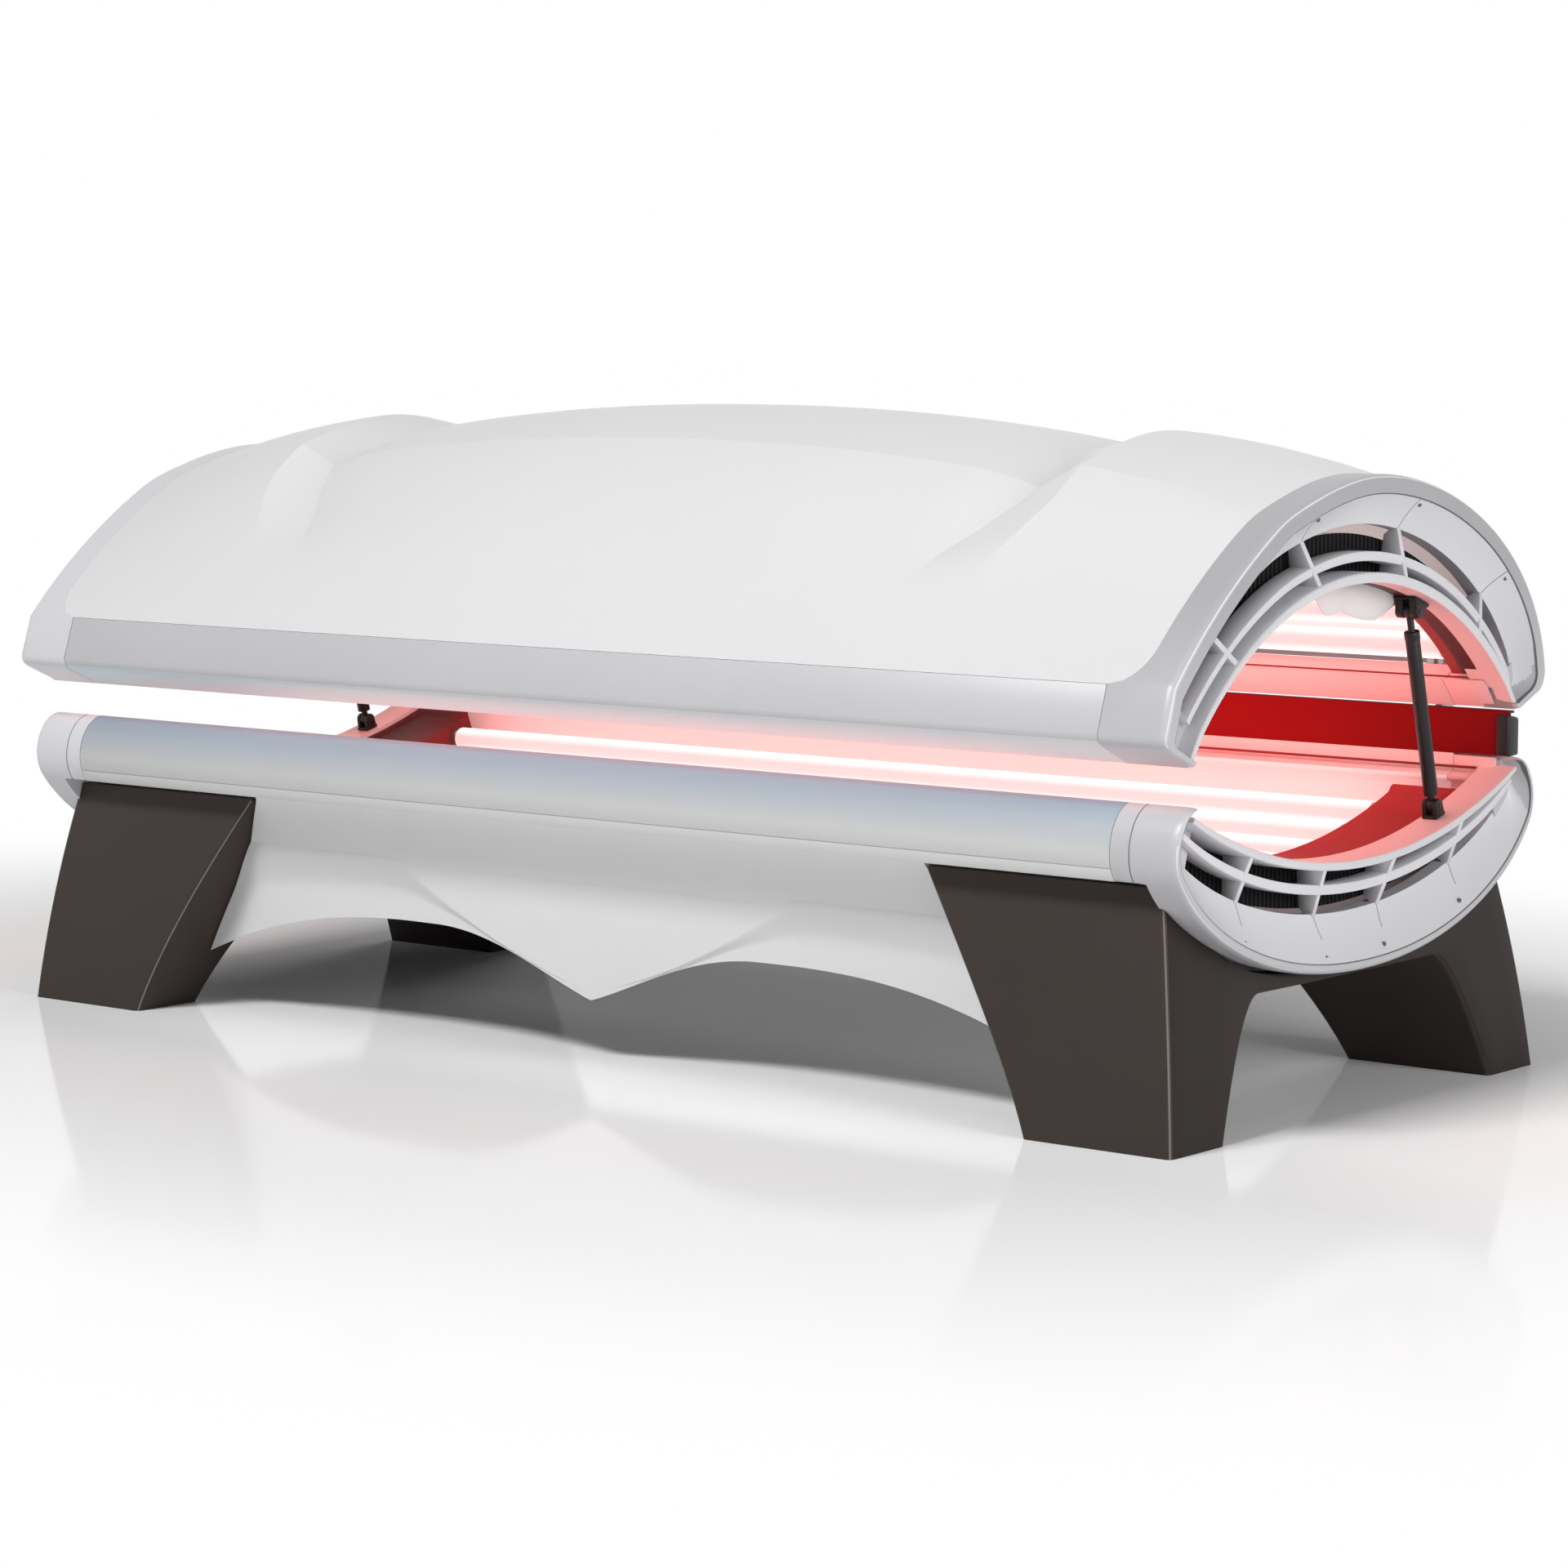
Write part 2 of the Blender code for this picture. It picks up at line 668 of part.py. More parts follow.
def canopy_profile(x):
    """Outer section of the canopy shell at one place along the length."""
    lift = crest_rise(x) - CREST_END_RISE

    def at(y, rise, share):
        return y, CANOPY_LIP_Z + rise + lift * share

    foot = at(-SHELL_FOOT_Y, STRIP_TOP, 0.0)
    crease = at(-CREASE_Y, CREASE_RISE, 1.0)
    crest = at(CREST_Y, CREST_END_RISE, 1.0)
    rear = at(SHELL_REAR_Y, SHELL_REAR_RISE, 0.0)
    low = at(-FACE_LOW_Y, FACE_LOW_RISE, FACE_LOW_LIFT_SHARE)
    high = at(-FACE_HIGH_Y, FACE_HIGH_RISE, FACE_HIGH_LIFT_SHARE)
    fine = smooth(foot, low, high, crease, FACE_STEPS)
    face = [fine[i] for i in FACE_PICKS]
    brow = at(-BROW_Y, BROW_RISE, 1.0)
    top = smooth(crease, brow, at(-CREST_FRONT_Y, CREST_END_RISE, 1.0), crest, TOP_STEPS)
    over = at(CREST_BACK_Y, CREST_END_RISE, 1.0)
    back = smooth(crest, over, at(BACK_Y, BACK_RISE, BACK_LIFT_SHARE), rear, BACK_STEPS)
    return face + top[1:] + back[1:]


def shell_end_x(z):
    """Where the shell ends: straight, but rounded off above the strip."""
    over = z - (CANOPY_LIP_Z + STRIP_TOP)
    if over >= CORNER_RADIUS:
        return SHELL_HALF
    reach = CORNER_RADIUS - max(over, 0.0)
    return SHELL_HALF - CORNER_RADIUS + math.sqrt(CORNER_RADIUS ** 2 - reach ** 2)


def canopy_front_outline():
    """Section of the canopy's front rail: grey strip, lower lip and groove for the sheet."""
    profile = canopy_profile(SHELL_HALF)
    rise = (Vector(profile[1]) - Vector(profile[0])).normalized()
    inward = Vector((rise.y, -rise.x))
    top = Vector(profile[0]) - rise * GAP
    top_back = top + inward * 2 * SHELL_WALL
    angle = ARCH_FRONT_ANGLE + GROOVE_PLAY_ANGLE
    nose = (-STRIP_Y, CANOPY_LIP_Z + STRIP_BOTTOM)
    bend = (nose[0] + STRIP_ROUND_IN, nose[1] - STRIP_ROUND_DROP)
    under = (nose[0] + STRIP_UNDER_IN, nose[1] - STRIP_UNDER_DROP)
    return [tuple(top), nose, bend, under, (-LIP_Y, CANOPY_LIP_Z),
            arch(-GROOVE_LIP, GROOVE_REACH_ANGLE - angle), arch(-GROOVE_PLAY, GROOVE_REACH_ANGLE - angle),
            arch(-GROOVE_PLAY, -angle),
            arch(GROOVE_WALL, -angle), tuple(top_back)]


def canopy_rear_outline():
    """Section of the canopy's rear rail, which carries the hinge lugs."""
    angle = ARCH_REAR_ANGLE + GROOVE_PLAY_ANGLE
    low = CANOPY_LIP_Z + REAR_RAIL_RISE
    return [arch(-GROOVE_LIP, angle - GROOVE_REACH_ANGLE), arch(-GROOVE_PLAY, angle - GROOVE_REACH_ANGLE),
            arch(-GROOVE_PLAY, angle), arch(GROOVE_WALL, angle),
            (REAR_RAIL_BACK_Y, low + REAR_RAIL_HEIGHT), (REAR_RAIL_BACK_Y, low),
            (REAR_RAIL_BACK_Y - 2 * RAIL_WALL, low)]


def between(outer, inner, share, x):
    """Point at a share of the way from the outer edge to the ring."""
    return (x, outer[0] + (inner[0] - outer[0]) * share, outer[1] + (inner[1] - outer[1]) * share)


def swept(stations, section):
    """Solid that follows the stations, each an outer point, an inner point and an inboard X."""
    return loft([[between(outer, inner, share, x) for share, x in section(outer, inner, inboard)]
                 for outer, inner, inboard in stations])


def slab(start, end, back, front):
    """Section of a concentric part of the grille."""
    return lambda outer, inner, inboard: [(start, back), (start, front), (end, front), (end, back)]


def cove_points(width, cove):
    """Face of the outer band as (share, x): its nose, its scoop and its edge at the vent."""
    nose = min(NOSE_INSET / width, cove / 2)
    return [(nose, HALF_LENGTH), ((nose + cove) / 2, SCOOP_X), (cove, GRILLE_X)]


def cove_section(cove):
    """Section of the outer band: rounded nose, then a scooped cove down to the grille."""

    def section(outer, inner, inboard):
        width = math.hypot(inner[0] - outer[0], inner[1] - outer[1])
        start = [(0.0, inboard), (0.0, HALF_LENGTH - NOSE_LENGTH)]
        return start + cove_points(width, cove) + [(cove, FRAME_IN)]

    return section


def rib(outer, inner, cove):
    """Radial rib that stands proud of the cove and crosses the vent to the ring."""
    run = Vector((inner[0] - outer[0], inner[1] - outer[1]))
    nose, scoop, edge = cove_points(run.length, cove)
    side = Vector((-run.y, run.x)).normalized() * (RIB_WIDTH / 2)
    back = FRAME_IN + 0.75 * GRILLE_BACK
    proud = RIB_PROUD / run.length
    profile = [(nose[0] + proud, back), (nose[0] + proud, nose[1] - RIB_PROUD),
               (scoop[0], scoop[1] + RIB_PROUD), (edge[0], edge[1] + RIB_RISE),
               (RIB_END_SHARE, RING_OUT - RIB_PROUD), (RIB_END_SHARE, back)]
    faces = []
    for sign in (1, -1):
        start = (outer[0] + sign * side.x, outer[1] + sign * side.y)
        end = (inner[0] + sign * side.x, inner[1] + sign * side.y)
        faces.append([between(start, end, share, x) for share, x in profile])
    return loft(faces)


def inset(outline, distance):
    """Closed outline moved inwards by a distance."""
    area = sum(y0 * z1 - y1 * z0 for (y0, z0), (y1, z1) in zip(outline, outline[1:] + outline[:1]))
    ring = outline[-1:] + outline + outline[:1]
    return offset_path(ring, math.copysign(distance, area))[1:-1]


def capped(outline):
    """End of a rail, a little smaller than the rail so that it lies inside the outer band."""
    return prism(inset(outline, CAP_INSET), RAIL_HALF + 2 * GAP, GRILLE_X - GRILLE_BACK)


def web(stations):
    """Wall that closes the grille round the end of a rail, set between the band's stations."""
    places = [part_way(first, second, WEB_SHIFT_SHARE) for first, second in zip(stations, stations[1:])]
    return swept(places, slab(WEB_START_SHARE, RIB_END_SHARE, FRAME_IN + GRILLE_BACK / 2, WEB_X))


def grille(front, ring_line, vent, rear, shares, ribs, feet):
    """End frame: outer band with its cove, middle blade, ring, ribs and closed rail ends."""
    cove, blade, blade_end, ring = shares
    band = swept(front + vent + rear, cove_section(cove))
    back = FRAME_IN + GRILLE_BACK
    pieces = [swept(vent, slab(blade, blade_end, back, HALF_LENGTH - BLADE_SETBACK)),
              swept(ring_line, slab(ring, 1.0, RING_IN, RING_OUT)),
              web(front + vent[:2]), web(rear[::-1] + vent[:-3:-1])]
    for outer, inner in ribs:
        pieces.append(rib(outer, inner, cove))
    return union(band, *pieces, *feet)


def part_way(first, second, share):
    """Station between two others."""
    outer = tuple(Vector(first[0]).lerp(Vector(second[0]), share))
    inner = tuple(Vector(first[1]).lerp(Vector(second[1]), share))
    return outer, inner, FRAME_IN


def fan(points, inner):
    """Stations round the end of a rail, all facing one end of the ring."""
    return [(point, inner, RAIL_HALF + GAP) for point in points]


def bench_vent():
    """Outer and inner points of the bench's end frames under the lying surface."""
    belly = belly_contour()
    lengths = [0.0]
    for (y0, z0), (y1, z1) in zip(belly, belly[1:]):
        lengths.append(lengths[-1] + math.hypot(y1 - y0, z1 - z0))
    stations = []
    for point, length in zip(belly, lengths):
        share = 2.0 * length / lengths[-1] - 1.0
        turn = math.copysign(abs(share) ** RING_CROWDING_SHARE, share)
        stations.append((point, bed(0.0, turn * (BED_EDGE_ANGLE + RING_OVERRUN_ANGLE)), FRAME_IN))
    return stations


def canopy_vent():
    """Outer and inner points of the canopy's end frames over the tunnel."""
    stations = []
    for y, z in canopy_profile(SHELL_HALF):
        turn = math.degrees(math.atan2(y, z - ARCH_CENTRE_Z))
        turn = min(turn, ARCH_REAR_ANGLE + RING_OVERRUN_ANGLE)
        inboard = shell_end_x(z) if y < 0.0 else SHELL_HALF
        stations.append(((y, z), arch(0.0, turn), inboard + GAP))
    return stations


def spread(pitch):
    """Angles of the ribs, even about the middle."""
    return [pitch * (i - (RIBS - 1) / 2) for i in range(RIBS)]


def facing(stations, inner):
    """Outer point that faces an inner point, read between the stations."""
    for (outer0, inner0, _), (outer1, inner1, _) in zip(stations, stations[1:]):
        if inner0[0] <= inner[0] <= inner1[0]:
            share = (inner[0] - inner0[0]) / (inner1[0] - inner0[0])
            return (outer0[0] + (outer1[0] - outer0[0]) * share,
                    outer0[1] + (outer1[1] - outer0[1]) * share)
    raise ValueError("rib outside the grille")


def rear_heel():
    """Outside of the canopy frame's rear end, from the shell's rear edge to the rear rail."""
    rear = canopy_profile(SHELL_HALF)[-1]
    low = canopy_rear_outline()[5]
    return [(rear[0] - HEEL_IN, rear[1] - HEEL_DROP), low, (low[0] - 2 * RAIL_WALL, low[1])]


def build_end_frames():
    """Moulded grilles at both ends of the bench and of the canopy."""
    vent = bench_vent()
    inners = [bed(0.0, angle) for angle in spread(BED_RIB_PITCH)]
    ribs = [(facing(vent, inner), inner) for inner in inners]
    feet = [capped(bench_front_outline()), capped(mirrored(bench_front_outline()))]
    shares = (BED_COVE, BED_BLADE, BED_BLADE_END, BED_RING)
    nose = rail_nose()[:-1]
    front, rear = fan(nose, vent[0][1]), fan(mirrored(nose), vent[-1][1])
    frame = grille(front, vent, vent, rear, shares, ribs, feet)
    add_pair("bench_end_frame", frame, PALE_GREY, BENCH)
    vent = canopy_vent()
    inners = [arch(0.0, angle) for angle in spread(CANOPY_RIB_PITCH)]
    ribs = [(facing(vent, inner), inner) for inner in inners]
    feet = [capped(canopy_front_outline()), capped(canopy_rear_outline())]
    shares = (CANOPY_COVE, CANOPY_BLADE, CANOPY_BLADE_END, CANOPY_RING)
    strip = canopy_front_outline()[4:0:-1]
    front = fan(strip, arch(0.0, -ARCH_FRONT_ANGLE - RING_OVERRUN_ANGLE))
    heel = rear_heel()
    rear = [(point, vent[-1][1], FRAME_IN) for point in heel]
    ring_line = [(strip[-1], strip[0], FRAME_IN)] + vent + [(heel[0], heel[-1], FRAME_IN)]
    frame = grille(front, ring_line, vent, rear, shares, ribs, feet)
    add_pair("canopy_end_frame", frame, PALE_GREY, CANOPY)


def build_rails():
    """Straight rails along the front and the rear of bench and canopy."""
    add_part("bench_front_rail", prism(bench_front_outline(), -RAIL_HALF, RAIL_HALF), SILVER, BENCH)
    add_part("bench_rear_rail", prism(bench_rear_outline(), -RAIL_HALF, RAIL_HALF), SILVER, BENCH)
    add_part("canopy_front_rail", prism(canopy_front_outline(), -RAIL_HALF, RAIL_HALF), PALE_GREY, CANOPY)
    add_part("canopy_rear_rail", prism(canopy_rear_outline(), -RAIL_HALF, RAIL_HALF), SILVER, CANOPY)


def build_sheets():
    """Clear acrylic sheets that the user lies on and under."""
    outline = arc_band(bed, 0.0, BED_SHEET, -BED_EDGE_ANGLE, BED_EDGE_ANGLE)
    add_part("bench_acrylic", prism(outline, -SHEET_HALF, SHEET_HALF), CLEAR_PINK, BENCH)
    outline = arc_band(arch, 0.0, CANOPY_SHEET, -ARCH_FRONT_ANGLE, ARCH_REAR_ANGLE)
    add_part("canopy_acrylic", prism(outline, -SHEET_HALF, SHEET_HALF), CLEAR_PINK, CANOPY)


def lamp(layer, offset, angle, half):
    """Fluorescent tube with a metal cap at each end."""
    y, z = layer(offset, angle)
    tube_half = half - LAMP_CAP_LENGTH
    tube = rod((-tube_half, y, z), (tube_half, y, z), LAMP_RADIUS)
    caps = rod((-half, y, z), (half, y, z), LAMP_CAP_RADIUS)
    return union(tube, caps)


def build_lamps():
    """Lamps, the reflectors behind them and the covers over their sockets."""
    bed_lamp = BED_SHEET + LAMP_GAP + LAMP_RADIUS
    for i in range(BED_LAMPS):
        angle = BED_LAMP_ANGLE * (2 * i / (BED_LAMPS - 1) - 1)
        mesh = lamp(bed, bed_lamp, angle, BED_LAMP_HALF - GAP)
        add_part(f"bench_lamp_{i + 1:02d}", mesh, LAMP_GLOW, BENCH)
    canopy_lamp = CANOPY_SHEET + LAMP_GAP + LAMP_RADIUS
    for i in range(CANOPY_LAMPS):
        angle = CANOPY_LAMP_ANGLE * (2 * i / (CANOPY_LAMPS - 1) - 1)
        mesh = lamp(arch, canopy_lamp, angle, CANOPY_LAMP_HALF - GAP)
        add_part(f"canopy_lamp_{i + 1:02d}", mesh, LAMP_GLOW, CANOPY)
    behind = LAMP_RADIUS + REFLECTOR_GAP
    outline = arc_band(bed, bed_lamp + behind, bed_lamp + behind + REFLECTOR_WALL,
                       -BED_REFLECTOR_ANGLE, BED_REFLECTOR_ANGLE)
    half = BED_LAMP_HALF - GAP
    add_part("bench_reflector", prism(outline, -half, half), MIRROR_WHITE, BENCH)
    outline = arc_band(arch, canopy_lamp + behind, canopy_lamp + behind + REFLECTOR_WALL,
                       -CANOPY_REFLECTOR_ANGLE, CANOPY_REFLECTOR_ANGLE)
    half = CANOPY_LAMP_HALF - GAP
    add_part("canopy_reflector", prism(outline, -half, half), MIRROR_WHITE, CANOPY)
    start = BED_SHEET + SHEET_REST
    deep = bed_lamp + behind + REFLECTOR_WALL
    side = RAIL_INNER_Y - RAIL_FLANGE - SOCKET_SIDE_PLAY
    angle = math.degrees(math.asin(side / (BED_RADIUS + deep)))
    outline = arc_band(bed, start, deep, -angle, angle)
    add_pair("bench_socket_cover", prism(outline, BED_LAMP_HALF, SHEET_HALF), DEEP_RED, BENCH)
    start = CANOPY_SHEET + SHEET_REST
    outline = arc_band(arch, start, canopy_lamp + behind + REFLECTOR_WALL,
                       -CANOPY_REFLECTOR_ANGLE, CANOPY_REFLECTOR_ANGLE)
    add_pair("canopy_socket_cover", prism(outline, CANOPY_LAMP_HALF, SHEET_HALF), DEEP_RED, CANOPY)


def build_canopy_shell():
    """White outer shell with its arched middle between two end humps."""
    half = [DIP_X * share for share in DIP_STATIONS]
    half += [(DIP_X + HUMP_X) / 2, HUMP_X]
    half += [HUMP_X + (SHELL_HALF - HUMP_X) * i / 3 for i in range(1, 4)]
    places = [-x for x in reversed(half[1:])] + half
    outer, inner = [], []
    for x in places:
        profile = canopy_profile(x)
        wall = offset_path(profile, -SHELL_WALL)
        ends = [shell_end_x(z) if y < 0.0 else SHELL_HALF for y, z in canopy_profile(SHELL_HALF)]
        shares = [end / SHELL_HALF for end in ends]
        outer.append([(x * share, y, z) for share, (y, z) in zip(shares, profile)])
        inner.append([(x * share, y, z) for share, (y, z) in zip(shares, wall)])
    add_part("canopy_shell", thick_sheet(outer, inner), WHITE_GLOSS, CANOPY)


def build_tub():
    """Lower tub of the bench, with the round opening of its fan."""
    contour = tub_contour()
    top = contour[0][1]
    outline = contour + [(y, min(z, top)) for y, z in reversed(offset_path(contour, TUB_WALL))]
    tub = prism(outline, -SHELL_HALF, SHELL_HALF)
    low = (FAN_X, 0.0, TUB_FLOOR - TUB_WALL)
    high = (FAN_X, 0.0, TUB_FLOOR + 2 * TUB_WALL)
    opening = rod(low, high, FAN_RADIUS - FAN_WALL, FINE_SIDES)
    add_part("bench_tub", cut(tub, opening), WHITE_GLOSS, BENCH)


def leg_edge():
    """Inner edge of a leg in front view, from its top to the floor, as (x, z)."""
    top = (LEG_TOP_OUT - LEG_TOP_WIDTH, LEG_TOP)
    foot = (HALF_LENGTH - FOOT_WIDTH, 0.0)
    high = (top[0] + LEG_EDGE_HIGH_OUT, LEG_TOP - LEG_EDGE_HIGH_DROP)
    low = (foot[0] - LEG_EDGE_LOW_IN, LEG_EDGE_LOW_RISE)
    return smooth(top, high, low, foot, LEG_STEPS)


def leg_edge_x(z):
    """How far from the middle the inner edge of a leg lies at one height."""
    edge = leg_edge()
    if z >= edge[0][1]:
        return edge[0][0]
    for (x0, z0), (x1, z1) in zip(edge, edge[1:]):
        if z1 <= z <= z0:
            return x0 + (x1 - x0) * (z0 - z) / (z0 - z1)
    return edge[-1][0]


def bulged(top, foot):
    """Outer edge of a leg, standing proud of the straight line from its top to its foot."""
    run = Vector(foot) - Vector(top)
    proud = Vector((LEG_BULGE, 0.0))
    return smooth(top, tuple(Vector(top) + run / 3 + proud), tuple(Vector(foot) - run / 3 + proud), foot,
                  BULGE_STEPS)


def build_legs():
    """Moulded leg arches: a front leg and a rear leg joined by a saddle under the tub."""
    under = TUB_FLOOR - SADDLE_THICKNESS
    foot = (FOOT_BACK, 0.0)
    bow = smooth(foot, (FOOT_BACK - ARCH_SIDE, ARCH_SIDE_RISE), (ARCH_SHOULDER + ARCH_BEND, under),
                 (ARCH_SHOULDER, under), LEG_STEPS)
    side = bulged((LEG_TOP_Y, LEG_TOP), (FOOT_FRONT, 0.0)) + bow
    outline = side + mirrored(side)
    front = leg_edge() + bulged((LEG_TOP_OUT, LEG_TOP), (HALF_LENGTH, 0.0))[::-1]
    width = (leg_edge()[0][0] - CUT_MARGIN, HALF_LENGTH + CUT_MARGIN)
    leg = prism(outline, *width)
    deep = FOOT_FRONT + CUT_MARGIN
    leg = combine(leg, [extrude(front, -deep, deep, ALONG_Y)], "INTERSECT")
    tub = offset_path(tub_contour(), -GAP)
    tub = [(tub[0][0], LEG_TOP + CUT_MARGIN)] + tub + [(tub[-1][0], LEG_TOP + CUT_MARGIN)]
    belly = offset_path(belly_contour(), -SHEET_REST)
    belly = [(belly[0][0], LEG_TOP + CUT_MARGIN)] + belly + [(belly[-1][0], LEG_TOP + CUT_MARGIN)]
    leg = cut(leg, prism(tub, *width), prism(belly, SHELL_HALF - SHEET_REST, width[1]))
    add_pair("leg_arch", leg, DARK_BROWN, BENCH)


def skirt_edge(x):
    """Height of the skirt's lower edge: a keel in the middle and a scallop on each side."""
    along = abs(x)
    if along < SCALLOP_HALF:
        share = along / SCALLOP_HALF
        return KEEL_HEIGHT + (SCALLOP_HEIGHT - KEEL_HEIGHT) * math.sin(share * math.pi / 2) ** KEEL_BEND
    share = min((along - SCALLOP_HALF) / (leg_edge_x(SKIRT_TAIL_HEIGHT) - SCALLOP_HALF), 1.0)
    fall = share * share * (3 - 2 * share)
    return SCALLOP_HEIGHT - (SCALLOP_HEIGHT - SKIRT_TAIL_HEIGHT) * fall


def build_skirt():
    """Front skirt: an upper face that runs down to the keel, and two hollowed lower faces."""
    top = RAIL_BOTTOM - GAP
    top_y = -(BED_HALF_WIDTH + RAIL_FOOT - SKIRT_SETBACK)
    lean = (-SKIRT_EDGE_Y - top_y) / (top - KEEL_HEIGHT)
    keel = KEEL_HEIGHT + KEEL_EDGE
    outer, inner = [], []
    for i in range(-SKIRT_STEPS, SKIRT_STEPS + 1):
        share = i / SKIRT_STEPS
        low_x = share * (leg_edge_x(SKIRT_TAIL_HEIGHT) - SKIRT_PLAY)
        low = skirt_edge(low_x)
        fold = min(abs(low_x) / CREASE_HALF, 1.0)
        crease = keel + (top - CREASE_DROP - keel) * fold
        crease_y = top_y + lean * (top - crease)
        low_y = crease_y + (-SKIRT_EDGE_Y - crease_y) * fold + lean * (crease - low) * (1.0 - fold)
        middle = ((crease + low) / 2, (crease_y + low_y) / 2 + SKIRT_HOLLOW * fold)
        upper = [(z, top_y + lean * (top - z)) for z in (top, LEG_TOP, (top + crease) / 2, crease)]
        rows = upper + [middle, (low, low_y)]
        points = [(share * (leg_edge_x(z) - SKIRT_PLAY), y, z) for z, y in rows]
        outer.append(points)
        inner.append([(x, y + SKIRT_WALL, z) for x, y, z in points])
    add_part("bench_skirt", thick_sheet(outer, inner), WHITE_GLOSS, BENCH)


def build_hinge():
    """Brackets on the bench, a shaft through them and lugs on the canopy's rear rail."""
    seat = RAIL_TOP + GAP
    start = HINGE_X + HINGE_PLATE / 2 + SLIDE_PLAY
    end = start + HINGE_PLATE
    middle = seat + BRACKET_FOOT / 2
    plate = prism(tongue((HINGE_Y, HINGE_Z), HINGE_EYE, middle), start, end)
    over = BRACKET_FLANGE / 2 - HINGE_PLATE / 2
    side = HINGE_EYE + BRACKET_FOOT / 4
    foot = box((start - over, HINGE_Y - side, seat), (end + over, HINGE_Y + side, seat + BRACKET_FOOT))
    reach = end + HINGE_PLATE
    bore = rod((0.0, HINGE_Y, HINGE_Z), (reach, HINGE_Y, HINGE_Z), SHAFT_RADIUS + PIN_PLAY, FINE_SIDES)
    add_pair("hinge_bracket", cut(union(plate, foot), bore), STEEL, BENCH)
    half = end + SHAFT_RADIUS
    shaft = rod((-half, HINGE_Y, HINGE_Z), (half, HINGE_Y, HINGE_Z), SHAFT_RADIUS, FINE_SIDES)
    add_part("hinge_shaft", shaft, STEEL, BENCH)
    start, end = HINGE_X - HINGE_PLATE / 2, HINGE_X + HINGE_PLATE / 2
    back = REAR_RAIL_BACK_Y + GAP
    rail_top = canopy_rear_outline()[4][1]
    low = rail_top - 2 * LUG_HALF_HEIGHT
    outline = tongue((HINGE_Y, HINGE_Z), HINGE_EYE, HINGE_Z)[2:]
    outline += [(back, HINGE_Z), (back, low), (HINGE_Y, low), (HINGE_Y + HINGE_EYE, HINGE_Z - HINGE_EYE)]
    bore = rod((0.0, HINGE_Y, HINGE_Z), (reach, HINGE_Y, HINGE_Z), SHAFT_RADIUS + PIN_PLAY, FINE_SIDES)
    add_pair("hinge_lug", cut(prism(outline, start, end), bore), STEEL, CANOPY)


def build_rear_panel():
    """Channel on the rear rail that closes the gap behind the user."""
    low = RAIL_TOP + GAP
    high = low + PANEL_HEIGHT
    back = PANEL_Y + PANEL_DEPTH
    web = PANEL_Y + PANEL_WALL
    outline = [(PANEL_Y, low), (back, low), (back, low + PANEL_WALL), (web, low + PANEL_WALL),
               (web, high - PANEL_WALL), (back, high - PANEL_WALL), (back, high), (PANEL_Y, high)]
    half = HALF_LENGTH - NOSE_LENGTH
    add_part("rear_panel", prism(outline, -half, half), BLACK, BENCH)


def pivot_mount(pivot, seat, ring):
    """Mount of a gas spring: a base on the ring of an end frame, a plate and a pin."""
    plate_x = STRUT_X + EYE_WIDTH / 2 + SLIDE_PLAY
    toward = Vector((seat[0] - pivot[0], seat[1] - pivot[1]))
    depth = toward.length + 2 * MOUNT_PLATE
    turn = Matrix.Rotation(math.atan2(toward.x, -toward.y), 4, "X")
    place = Matrix.Translation((0.0, *pivot)) @ turn
    half = MOUNT_BASE / 2
    outer = plate_x + MOUNT_PLATE
    plate = prism(tongue((0.0, 0.0), STRUT_EYE, -depth), plate_x, outer)
    base = box((RING_IN + GAP, -half, -depth - MOUNT_PLATE),
               (outer + MOUNT_PLATE, half, MOUNT_PLATE / 2 - toward.length))
    pin = rod((STRUT_X - EYE_WIDTH / 2, 0.0, 0.0), (plate_x + MOUNT_PLATE / 2, 0.0, 0.0), PIVOT_PIN)
    mount = union(plate, base, pin)
    mount.transform(place)
    return cut(mount, ring)


def lifted(stations):
    """Ring of an end frame grown towards the user by the clearance."""
    grown = []
    for outer, inner, inboard in stations:
        run = Vector((inner[0] - outer[0], inner[1] - outer[1]))
        far = Vector(inner) + run.normalized() * GAP
        grown.append((outer, tuple(far), inboard))
    return swept(grown, slab(RING_CUT_SHARE, 1.0, RAIL_HALF, HALF_LENGTH))


